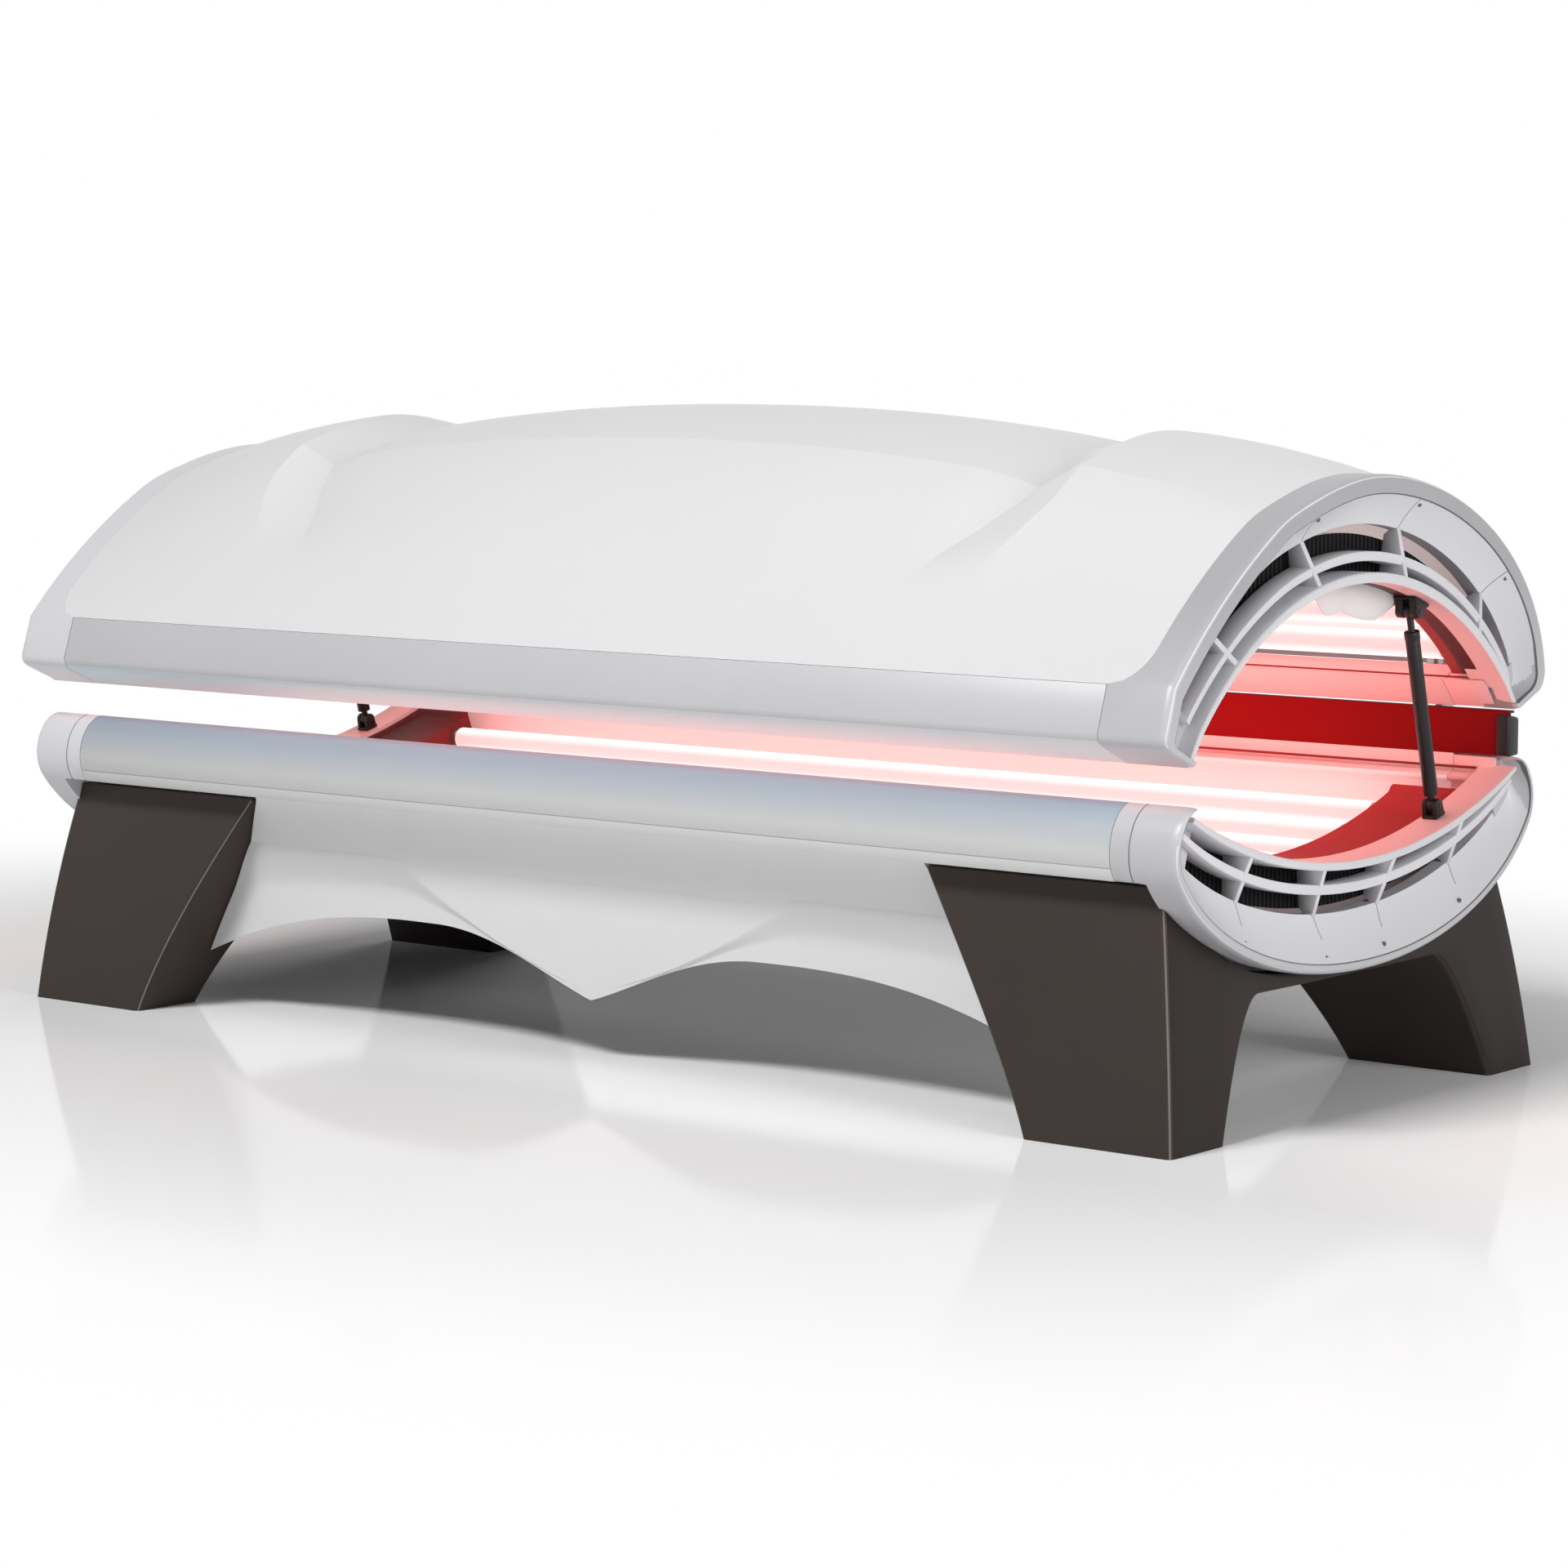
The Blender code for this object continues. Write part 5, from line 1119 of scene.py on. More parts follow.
def build_shell():
    """White outer shell with its arched middle between two end humps."""
    half = [DIP_X * share for share in shares(DOME_COLUMNS)]
    half += [part_way(DIP_X, HUMP_X, share) for share in shares(CREASE_COLUMNS, 1)]
    half += [part_way(HUMP_X, SHELL_HALF, share) for share in shares(END_COLUMNS, 1)]
    ends = [shell_end_x(z) if y < 0.0 else SHELL_HALF for y, z in canopy_profile(SHELL_HALF)]
    rings = []
    for column in [-x for x in reversed(half[1:])] + half:
        outside = [(x * end / SHELL_HALF, y, z) for end, (x, y, z) in zip(ends, shell_column(column))]
        wall = offset_path([(y, z) for _, y, z in outside], -SHELL_WALL)
        inside = [(point[0], y, z) for point, (y, z) in zip(outside, wall)]
        rings.append(outside + inside[::-1])
    shell = dress(lofted("canopy_shell_skin", rings), "shell", angle=7.0)
    settle(shell, "canopy", "shell_white", "canopy_shell")


def between(outer, inner, share, x):
    """Point at a share of the way from the outer edge of a section to its inner edge."""
    return x, part_way(outer[0], inner[0], share), part_way(outer[1], inner[1], share)


def across(outer, inner):
    """Direction along the grille, square to the way from its outer edge to the ring."""
    return Vector((outer[1] - inner[1], inner[0] - outer[0])).normalized()


def cove_curve(width, cove, lip):
    """Face of the outer band as (share, x), from its lip through the scoop to the vent."""
    start = min(lip / width, cove * LIP_LIMIT)
    edge = HALF_LENGTH - LIP_FALL
    middle = 2 * SCOOP_X - (edge + GRILLE_X) / 2
    return [(part_way(start, cove, t), edge * (1 - t) ** 2 + 2 * middle * t * (1 - t) + GRILLE_X * t * t)
            for t in shares(COVE_STEPS)]


def band_section(width, cove, lip, inboard):
    """Section of the outer band: rounded nose, flat lip, scooped cove, edge at the vent."""
    face = cove_curve(width, cove, lip)
    nose = min(NOSE_INSET / width, face[0][0] * LIP_LIMIT)
    bend = [(nose * (1 - cos), HALF_LENGTH - NOSE_LENGTH * (1 - sin))
            for sin, cos in quarter(BAND_NOSE_STEPS)]
    return [(0.0, inboard)] + bend + face + [(cove, FRAME_IN)]


def seam_section(width, cove, lip):
    """Section of the shadow gap between the lip and the cove."""
    (start, edge), (after, low) = cove_curve(width, cove, lip)[:2]
    wide = sizes().seam_width / width
    fall = edge - (edge - low) / (after - start) * wide
    return [(start, edge - SEAM_DEPTH), (start, edge + GAP), (start + wide, fall + GAP),
            (start + wide, fall - SEAM_DEPTH)]


def slab_section(width, start, end, back, front, radius):
    """Section of a concentric part of the grille, with a rounded front."""
    share = min(radius / width, (end - start) / 2)
    low = front - radius
    first = [(start + share * (1 - cos), low + radius * sin) for sin, cos in quarter(SLAB_ROUND_STEPS)]
    last = [(end - share * (1 - sin), low + radius * cos) for sin, cos in quarter(SLAB_ROUND_STEPS)]
    return [(start, back)] + first + last + [(end, back)]


def swept(name, stations, section):
    """Solid that follows the stations, each an outer point, an inner point and an inboard X."""
    rings = []
    for outer, inner, inboard in stations:
        shape = section(math.dist(outer, inner), inboard)
        rings.append([between(outer, inner, share, x) for share, x in shape])
    return lofted(name, rings)


def slab(name, stations, *measures):
    """Concentric part of the grille along the stations."""
    return swept(name, stations, lambda width, _: slab_section(width, *measures))


def ribbon(outer, inner, path):
    """Bar across the grille along (share, front x, half width) steps."""
    side = across(outer, inner)
    rings = []
    for share, front, half in path:
        soft = min(RIB_SOFT, half / 2)
        back = GRILLE_IN if share > path[0][0] and half > SLIM_HALF else front - RIB_BACK
        shape = [(-half, back), (-half, front - soft), (-half + soft, front)]
        shape += [(-reach, x) for reach, x in reversed(shape)]
        _, y, z = between(outer, inner, share, front)
        rings.append([(x, y + side.x * reach, z + side.y * reach) for reach, x in shape])
    return lofted("ribbon", rings)


def rib(outer, inner, cove):
    """Straight radial rib from the cove's edge across the vent to the ring."""
    return ribbon(outer, inner, [(part_way(cove - RIB_ROOT_SHARE, RIB_END_SHARE, share),
                                  part_way(GRILLE_X + RIB_PLAY, RING_OUT - RIB_PLAY, share), RIB_HALF)
                                 for share in shares(RIB_STEPS)])


def rib_seam(outer, inner, cove, lip):
    """Shadow gap over the cove, where two lengths of the frame meet at a rib; short on a narrow lip."""
    face = cove_curve(math.dist(outer, inner), cove, lip)
    if lip < SHORT_SEAM_LIP:
        face = face[COVE_STEPS // 2:]
    return ribbon(outer, inner, [(share, x + GAP, sizes().seam_width / 2) for share, x in face])


def screw_head(outer, inner, cove, lip):
    """Small pan-head screw with a socket, in the cove beside a rib."""
    share, x = cove_curve(math.dist(outer, inner), cove, lip)[SCREW_STEP]
    aside = across(outer, inner) * SCREW_ASIDE
    centre = Vector(between(outer, inner, share, x)) + Vector((0.0, aside.x, aside.y))
    turn = Vector((1.0, 0.0, 0.0)).to_track_quat("Z", "Y")
    radius = sizes().screw_radius
    return lofted("screw", [[centre + turn @ (way * radius * part + Vector((0.0, 0.0, height)))
                             for way in around(SCREW_SIDES)] for part, height in SCREW_LEVELS])


def facing(stations, inner):
    """Outer point that faces an inner point, read between the stations."""
    for (outer0, inner0, _), (outer1, inner1, _) in zip(stations, stations[1:]):
        if inner0[0] <= inner[0] <= inner1[0] and inner1[0] > inner0[0]:
            share = (inner[0] - inner0[0]) / (inner1[0] - inner0[0])
            return tuple(Vector(outer0).lerp(Vector(outer1), share))
    raise ValueError("rib outside the grille")


def grille(front, ring_line, vent, rear, parts, inners, caps, webs, centre_z):
    """End frame: outer band with its cove, ring, blade, webs, closed rail ends, ribs and screws."""
    lip, cove, blade, blade_end, ring = parts
    whole = front + vent + rear
    band = wear(swept("band", whole, lambda width, inboard: band_section(width, cove, lip, inboard)),
                "band", "frame")
    paint(band, 1, lambda place, normal: (
        COVE_IN < place.x < HALF_LENGTH - LIP_FALL and normal.x > COVE_FACING))
    edge = wear(slab("ring", ring_line, ring, 1.0, RING_IN, RING_OUT, RING_ROUND), "frame", "pink")
    # Ring faces that look to the tunnel's axis get painted lamp light
    paint(edge, 1, lambda place, normal: (
        Vector((0.0, -place.y, centre_z - place.z)).normalized().dot(normal) > RING_FACING))
    deep = [wear(slab("blade", vent, blade, blade_end, GRILLE_IN, BLADE_X, BLADE_ROUND), "vent")]
    closed = [wear(slab("web", stations, WEB_SHARE, RIB_END_SHARE, WEB_IN, WEB_X, WEB_ROUND), "band")
              for stations in (front + vent[:webs + 1], vent[-webs - 1:] + rear)]
    lids = []
    for outline in caps:
        cap = bar("cap", inset(outline, CAP_INSET), RAIL_HALF + SEAM / 2, GRILLE_X - GRILLE_BACK)
        round_edges(cap, CAP_EDGE)
        lids.append(wear(cap, "band", "pink"))
    # Faces of the rear cap that look into the tunnel get painted lamp light
    paint(lids[1], 1, lambda place, normal: normal.y < LIT_FACING)
    dark = [wear(swept("seam", whole, lambda width, _: seam_section(width, cove, lip)), "gap")]
    for inner in inners:
        outer = facing(vent, inner)
        deep.append(wear(rib(outer, inner, cove), "vent"))
        dark.append(wear(rib_seam(outer, inner, cove, lip), "gap"))
        dark.append(wear(screw_head(outer, inner, cove, lip), "gap"))
    return [band, edge] + lids + closed + deep + dark


def bench_vent():
    """Outer and inner points of the bench's end frames under the lying surface."""
    belly = belly_contour()
    lengths = lengths_along(belly)
    stations = []
    for point, length in zip(belly, lengths):
        share = 2.0 * length / lengths[-1] - 1.0
        turn = math.copysign(abs(share) ** RING_CROWDING, share)
        stations.append((point, bed(0.0, turn * (BED_EDGE_ANGLE + RING_OVERRUN_ANGLE)), FRAME_IN))
    return stations


def canopy_vent():
    """Outer and inner points of the canopy's end frames over the tunnel."""
    stations = []
    for y, z in softened(canopy_profile(SHELL_HALF), 1.0):
        turn = min(math.degrees(math.atan2(y, z - ARCH_CENTRE_Z)), ARCH_REAR_ANGLE + RING_OVERRUN_ANGLE)
        inboard = shell_end_x(z) if y < 0.0 else SHELL_HALF
        stations.append(((y, z), arch(0.0, turn), inboard + GAP))
    return stations


def settle_grille(body, pieces):
    """Join the pieces of a right-hand end frame and fix it and its mirror image."""
    settle_pair(shade(joined(f"{body}_end_grille_right", pieces)), body, "frame_grey", f"{body}_end_frame")


def build_end_frames():
    """Moulded, ribbed ventilation grilles at both ends of the bench and of the canopy."""
    vent = bench_vent()
    nose = rail_nose()
    front = [(point, vent[0][1], RAIL_HALF + GAP) for point in nose[:-1]]
    rear = [(point, vent[-1][1], RAIL_HALF + GAP) for point in mirrored(nose[:-1])]
    caps = (front_rail_outline(), mirrored(front_rail_outline()))
    inners = [bed(0.0, angle) for angle in BED_RIB_ANGLES]
    pieces = grille(front, vent, vent, rear, BED_SHARES, inners, caps, BED_WEB, BED_CENTRE_Z)
    for outline in (nose, mirrored(nose)):
        line = offset_path(outline, -CAP_LINE_PROUD) + offset_path(outline, CAP_LINE_DEPTH)[::-1]
        pieces.append(wear(bar("line", line, CAP_LINE_X, CAP_LINE_X + sizes().seam_width), "gap"))
    settle_grille("bench", pieces)
    vent, strip, heel = canopy_vent(), strip_face(), rear_heel()
    front = [(point, arch(0.0, -ARCH_FRONT_ANGLE - RING_OVERRUN_ANGLE), RAIL_HALF + GAP) for point in strip]
    rear = [(point, vent[-1][1], FRAME_IN) for point in heel]
    ring_line = [(strip[-1], strip[0], FRAME_IN)] + vent + [(heel[0], heel[-1], FRAME_IN)]
    caps = (canopy_front_outline(), canopy_rear_outline())
    inners = [arch(0.0, angle) for angle in CANOPY_RIB_ANGLES]
    settle_grille("canopy", grille(front, ring_line, vent, rear, CANOPY_SHARES, inners, caps, CANOPY_WEB,
                                   ARCH_CENTRE_Z))


def build_rails():
    """Straight rails along the front and the rear of bench and canopy."""
    half = RAIL_HALF - SEAM / 2
    chamber = ledge(1)[LEDGE_TIP][1] - GAP
    for name, outline, body, finish, slot, node in (
            ("bench_nose_rail", front_rail_outline(), "bench", "rail", "rail_silver", "bench_front_rail"),
            ("bench_back_rail", rear_rail_outline(), "bench", "rail", "rail_silver", "bench_rear_rail"),
            ("canopy_strip", canopy_front_outline(), "canopy", "strip", "strip_grey", "canopy_front_rail"),
            ("canopy_back_rail", canopy_rear_outline(), "canopy", "rail", "rail_silver", "canopy_rear_rail")):
        rail = dress(bar(name, outline, -half, half), finish, "lip", "pink", "blush", edge=sizes().rail_edge)
        if node == "canopy_front_rail":
            # Downward faces of the canopy strip get a painted floor reflection
            paint(rail, 1, lambda place, normal: normal.z < LIP_FACING and normal.y < 0.0)
        elif "rear" in node:
            # Faces of the rear rails that look into the tunnel get painted lamp light
            paint(rail, 2, lambda place, normal: normal.y < LIT_FACING and normal.z > -END_FACING)
        if node == "bench_rear_rail":
            # Faces of the bench's rear rail inside the lamp chamber get a painted glow of lamp light
            paint(rail, 3, lambda place, normal: normal.y < -LIT_FACING and place.z < chamber)
        settle(rail, body, slot, node)


def build_sheets():
    """Clear acrylic sheets that the user lies on and under, with seals along their rear edges."""
    for body, layer, wall, front, rear in (("bench", bed, BED_SHEET, BED_EDGE_ANGLE, BED_EDGE_ANGLE),
                                           ("canopy", arch, CANOPY_SHEET, ARCH_FRONT_ANGLE, ARCH_REAR_ANGLE)):
        outline = arc_band(layer, 0.0, wall, -front, rear)
        sheet = dress(bar(f"{body}_clear_sheet", outline, -SHEET_HALF, SHEET_HALF), "clear")
        settle(sheet, body, "acrylic_clear", f"{body}_acrylic")
    half = SHEET_HALF - SEAL_PLAY
    for body, layer, edge in (("bench", bed, BED_EDGE_ANGLE),
                              ("canopy", arch, ARCH_REAR_ANGLE - GROOVE_REACH_ANGLE)):
        outline = arc_band(layer, -SEAL_HEIGHT, -GAP, edge - SEAL_START_ANGLE, edge - SEAL_END_ANGLE)
        settle(dress(bar(f"{body}_sheet_seal", outline, -half, half), "seal"), body, "socket_red")


def build_lamps():
    """Glowing tubes with metal caps, and the reflectors behind them."""
    for body, layer, sheet, count, spread, length, angle in (
            ("bench", bed, BED_SHEET, BED_LAMPS, BED_LAMP_ANGLE, BED_LAMP_HALF, BED_REFLECTOR_ANGLE),
            ("canopy", arch, CANOPY_SHEET, CANOPY_LAMPS, CANOPY_LAMP_ANGLE, CANOPY_LAMP_HALF,
             CANOPY_REFLECTOR_ANGLE)):
        depth, half = sheet + LAMP_DEPTH, length - GAP
        glass = half - LAMP_CAP_LENGTH
        for i in range(count):
            y, z = layer(depth, spread * (2 * i / (count - 1) - 1))
            lamp = tube("glass", (-glass, y, z), (glass, y, z), LAMP_RADIUS, LAMP_SIDES)
            parts = [wear(lamp, "glow", "steel")]
            for side in (-1, 1):
                start, end = side * (glass - LAMP_CAP_OVERLAP), side * half
                cap = tube("cap", (start, y, z), (end, y, z), LAMP_CAP_RADIUS, LAMP_SIDES)
                parts.append(wear(cap, "steel"))
            lamp = joined(f"{body}_tube_{i + 1:02d}", parts)
            round_edges(lamp, LAMP_EDGE, angle=60.0)
            settle(shade(lamp), body, "lamp_glow", f"{body}_lamp_{i + 1:02d}")
        behind = depth + REFLECTOR_DEPTH
        outline = arc_band(layer, behind, behind + REFLECTOR_WALL, -angle, angle)
        mirror = dress(bar(f"{body}_mirror", outline, -half, half), "reflector")
        settle(mirror, body, "reflector_bright", f"{body}_reflector")


def socket_tray():
    """Sunk red tray over the lamp sockets of the bench."""
    top, deep = BED_SHEET + COVER_PLAY, BED_SHEET + COVER_DEPTH
    side = math.degrees(math.asin((RAIL_INNER_Y - RAIL_FLANGE - TRAY_PLAY) / (BED_RADIUS + deep)))
    rings = []
    for row in shares(TRAY_ROWS):
        angle = part_way(-side, side, row)
        to_side = math.radians(side - abs(angle)) * BED_RADIUS - TRAY_SIDE_RIM
        ring = []
        for column in shares(TRAY_COLUMNS):
            x = part_way(BED_LAMP_HALF, SHEET_HALF, column)
            rim = min(SHEET_HALF - TRAY_END_RIM - x, to_side)
            ring.append((x, *bed(top + TRAY_SINK * ramp(rim, 0.0, TRAY_SLOPE), angle)))
        rings.append(ring + [(SHEET_HALF, *bed(deep, angle)), (BED_LAMP_HALF, *bed(deep, angle))])
    tray = dress(lofted("bench_socket_tray_right", rings), "red", "screen", angle=25.0)
    paint(tray, 1, lambda place, normal: normal.x > END_FACING)
    return tray


def lamp_lip(top):
    """Scalloped lip of the canopy's shroud, hanging over the ends of the lamps at the crown."""
    pitch = 2 * CANOPY_LAMP_ANGLE / (CANOPY_LAMPS - 1)
    rings = []
    for share in shares(SCALLOP_STEPS):
        angle = pitch * part_way(*SHROUD_LOBES, share)
        lobe = abs(math.cos(math.pi * angle / pitch)) ** LOBE_BEND
        fade = ramp(min(share, 1.0 - share), 0.0, SHROUD_FADE)
        edge = CANOPY_LAMP_HALF - SHROUD_OVERHANG - SHROUD_SCALLOP * lobe * fade
        low, high = arch(top, angle), arch(top + SHROUD_WALL, angle)
        rings.append([(edge, *low), (edge, *high), (CANOPY_LAMP_HALF, *high), (CANOPY_LAMP_HALF, *low)])
    return wear(lofted("lip", rings), "shroud")


def socket_shroud():
    """Cover over the lamp sockets of the canopy, with its scalloped lip."""
    top, deep = CANOPY_SHEET + COVER_PLAY, CANOPY_SHEET + COVER_DEPTH
    outline = arc_band(arch, top, deep, -CANOPY_REFLECTOR_ANGLE, CANOPY_REFLECTOR_ANGLE)
    cover = wear(bar("cover", outline, CANOPY_LAMP_HALF, SHEET_HALF), "shroud", "screen")
    paint(cover, 1, lambda place, normal: normal.x > END_FACING)
    return shade(joined("canopy_socket_shroud_right", [cover, lamp_lip(top)]))


def ring_liner():
    """Dark inset on the canopy's ring, behind the gas spring."""
    outline = arc_band(arch, -LINER_PROUD, GAP, *LINER_ANGLES)
    liner = bar("canopy_ring_liner_right", outline, RING_IN + GAP, LINER_X)
    return dress(liner, "inset", edge=LINER_EDGE, segments=1)


def crown_shroud():
    """White scalloped apron that hangs from the crown in front of the lamp ends."""
    rings = []
    for share in shares(SCALLOP_STEPS):
        angle = part_way(*CROWN_ANGLES, share)
        wave = abs(math.sin(math.pi * CROWN_LOBES * share)) ** LOBE_BEND
        lobe = 1.0 - CROWN_SCALLOP + CROWN_SCALLOP * wave
        fade = ramp(min(share, 1.0 - share), 0.0, CROWN_FADE)
        drop = CROWN_DROP + CROWN_HANG * lobe * fade
        front = [(CROWN_X, GAP), (CROWN_X, drop / 2), (CROWN_X - CROWN_TUCK, drop)]
        back = [(x - CROWN_WALL, down) for x, down in reversed(front)]
        rings.append([(x, *arch(-down, angle)) for x, down in front + back])
    return dress(lofted("canopy_crown_shroud_right", rings), "shell", angle=40.0)


def build_socket_covers():
    """Covers over the lamp sockets: sunk red trays in the bench, shrouds in the canopy."""
    settle_pair(socket_tray(), "bench", "socket_red", "bench_socket_cover")
    settle_pair(socket_shroud(), "canopy", "socket_red", "canopy_socket_cover")
    settle_pair(ring_liner(), "canopy", "socket_red")
    settle_pair(crown_shroud(), "canopy", "shell_white")


def build_skirt():
    """White front skirt, with an upper face down to the keel and two hollowed lower faces, and the tub."""
    top = RAIL_BOTTOM - GAP
    lean = (SKIRT_EDGE_Y - SKIRT_TOP_Y) / (top - KEEL_HEIGHT)
    rings = []
    for i in range(-SKIRT_COLUMNS, SKIRT_COLUMNS + 1):
        share = i / SKIRT_COLUMNS
        low_x = share * (leg_edge_x(SKIRT_TAIL) - SKIRT_PLAY)
        low = skirt_edge(low_x)
        fold = min(abs(low_x) / FOLD_HALF, 1.0) ** FOLD_BEND
        crease = part_way(KEEL_HEIGHT + KEEL_EDGE, top - FOLD_DROP, fold)
        valley = max(top - VALLEY_DROP, crease)
        valley_y = SKIRT_TOP_Y + lean * (top - valley) + VALLEY_DEPTH
        crease_y = valley_y + lean * VALLEY_LEAN * (valley - crease)
        low_y = crease_y + lean * VALLEY_LEAN * (crease - low)
        rows = [(part_way(SKIRT_TOP_Y, valley_y, t), part_way(top, valley, t)) for t in shares(FOLD_ROWS)]
        rows += [(part_way(valley_y, crease_y, t), part_way(valley, crease, t)) for t in shares(FOLD_ROWS, 1)]
        for t in shares(HOLLOW_ROWS, 1):
            hollow = SKIRT_HOLLOW * fold * ramp(t, 0.0, HOLLOW_FADE)
            rows.append((part_way(crease_y, low_y, t) + hollow, part_way(crease, low, t)))
        front = [(share * (leg_edge_x(z) - SKIRT_PLAY), y, z) for y, z in rows]
        rings.append(front + [(x, y + SKIRT_WALL, z) for x, y, z in reversed(front)])
    skirt = dress(lofted("bench_front_skirt", rings), "shell", angle=6.0)
    settle(skirt, "bench", "shell_white", "bench_skirt")
    tub = dress(copied("bench_tub", "bench_lower_tub"), "tub", edge=SHEET_EDGE, sharp=50.0)
    settle(tub, "bench", "shell_white", "bench_tub")


def leg_stations():
    """Pairs of an outer and an inner point along a leg arch, from its rear foot to its front foot."""
    bow = curve(*LEG_BOW, 2 * LEG_STEPS)
    split = int(BOW_SPLIT * LEG_STEPS)
    tub = offset_path(tub_contour(), -GAP)
    under = [(-y, z) for y, z in tub[:len(tub) // 2] if z < LEG_TOP] + [(0.0, tub[len(tub) // 2][1])]
    face = bulged((LEG_TOP_Y, LEG_TOP), (FOOT_FRONT, 0.0))[::-1]
    over = [face[-1], (under[0][0], LEG_TOP)] + under
    arched = bow[split:] + [(0.0, bow[-1][1])]
    outer = resampled(face, LEG_STEPS) + resampled(over, 2 * LEG_STEPS)[1:]
    inner = resampled(bow[:split + 1], LEG_STEPS) + resampled(arched, 2 * LEG_STEPS)[1:]
    half = list(zip(outer, inner))
    return half + [((-a, b), (-c, d)) for (a, b), (c, d) in reversed(half[:-1])]


def leg_section(outer, inner):
    """Section of a leg arch between two points, with rounded corners."""
    width = math.dist(outer, inner)
    radius = min(sizes().leg_edge, width * LEG_ROUND_LIMIT)
    corner = [(radius * (1 - sin) / width, radius * (1 - cos)) for sin, cos in quarter(LEG_ROUND_STEPS)]
    start = radius / width
    flat = [(part_way(start, 1.0 - start, share), 0.0) for share in LEG_FLAT]
    sweep = [(1.0 - share, into) for share, into in reversed(corner)] + flat + corner
    points = []
    for side, edge_x, steps in ((1.0, leg_edge_x, sweep), (-1.0, leg_out_x, sweep[::-1])):
        for share, into in steps:
            _, y, z = between(outer, inner, share, 0.0)
            points.append((edge_x(z) + side * into, y, z))
    return points


def build_legs():
    """Dark moulded leg arches with softly rounded edges, a painted highlight along the front corners and
    painted shade on the outer sides.
    """
    rings = [leg_section(*station) for station in leg_stations()]
    leg = wear(lofted("leg_arch_moulding_right", rings), "leg", "edge", "painted_shade_leg_side")
    # Painted highlight on the middle facets of the front corners, painted shade on the outer sides
    for index, face in enumerate(leg.data.polygons):
        if index % len(rings[0]) in LEG_HIGHLIGHT_FACETS and face.normal.y < FRONT_FACING:
            face.material_index = 1
        elif face.normal.x > END_FACING:
            face.material_index = 2
    over = LEG_TOP + CUT_MARGIN
    belly = offset_path(belly_contour(), -2 * GAP)
    belly = [(belly[0][0], over)] + belly + [(belly[-1][0], over)]
    cut_by(leg, bar("belly", belly, SHELL_HALF - 2 * GAP, HALF_LENGTH + CUT_MARGIN))
    settle_pair(shade(leg, 40.0), "bench", "leg_brown", "leg_arch")


def build_hinge():
    """Hinge of the canopy, and the panel behind the user with a block at each end."""
    nodes = (("hinge_bracket_right", "bench"), ("hinge_bracket_left", "bench"),
             ("hinge_lug_right", "canopy"), ("hinge_lug_left", "canopy"), ("hinge_shaft", "bench"))
    settle_copies([(node, body, "steel", "steel") for node, body in nodes], STEEL_EDGE)
    panel = dress(copied("rear_panel", "rear_channel"), "black", "panel", edge=SHEET_EDGE)
    paint(panel, 1, lambda place, normal: normal.y < PANEL_FACING and place.y < PANEL_FACE_Y)
    parts = [panel]
    end = max(vertex.co.x for vertex in panel.data.vertices) + GAP
    outline = [(BLOCK_FRONT_Y, RAIL_TOP + GAP), (BLOCK_BACK_Y, RAIL_TOP + GAP),
               (BLOCK_BACK_Y, RAIL_TOP + BLOCK_BACK_HEIGHT), (BLOCK_FRONT_Y, RAIL_TOP + BLOCK_FRONT_HEIGHT)]
    for side in (-1, 1):
        block = bar("end", outline, side * (end - BLOCK_LENGTH), side * end)
        parts.append(dress(block, "black", edge=BLOCK_EDGE, segments=3))
    settle(joined("rear_channel", parts), "bench", "black_metal", "rear_panel")


def build_gas_springs():
    """Gas springs with their gland rings, and the mounts that carry them."""
    run = (UPPER_PIVOT - LOWER_PIVOT).normalized()
    mouth = UPPER_PIVOT - run * ROD_EXPOSED
    foot = LOWER_PIVOT + run * CYLINDER_FOOT
    to_eye = run * (STRUT_EYE - EYE_OVERLAP)
    half_eye = Vector((EYE_WIDTH / 2, 0.0, 0.0))
    barrel = tube("barrel", foot, mouth, BARREL_RADIUS)
    gland = tube("gland", mouth - run * GLAND_LENGTH, mouth, BARREL_RADIUS + GLAND_PROUD)
    neck = tube("neck", LOWER_PIVOT + to_eye, foot + run * NECK_OVERLAP, ROD_RADIUS)
    eye = tube("eye", LOWER_PIVOT - half_eye, LOWER_PIVOT + half_eye, STRUT_EYE, hole=EYE_HOLE)
    cylinder = dress(joined("gas_spring_barrel_right", [barrel, gland, neck, eye]), "black",
                     edge=SPRING_EDGE, sharp=50.0)
    settle_pair(cylinder, "cylinder_right", "black_metal", "gas_spring_cylinder", "cylinder_left")
    stem = tube("stem", foot + run * ROD_START, UPPER_PIVOT - to_eye, ROD_RADIUS)
    eye = tube("eye", UPPER_PIVOT - half_eye, UPPER_PIVOT + half_eye, STRUT_EYE, hole=EYE_HOLE)
    rod = dress(joined("gas_spring_stem_right", [stem, eye]), "black", edge=ROD_EDGE, sharp=50.0)
    settle_pair(rod, "rod_right", "black_metal", "gas_spring_rod", "rod_left")
    lower = pivot_mount("gas_spring_foot_right", LOWER_PIVOT, BED_CENTRE_Z, BED_RADIUS, *LOWER_MOUNT)
    settle_pair(lower, "bench", "black_metal", "gas_spring_lower_mount")
    upper = pivot_mount("gas_spring_head_right", UPPER_PIVOT, ARCH_CENTRE_Z, TUNNEL_RADIUS, *UPPER_MOUNT)
    settle_pair(upper, "canopy", "black_metal", "gas_spring_upper_mount")


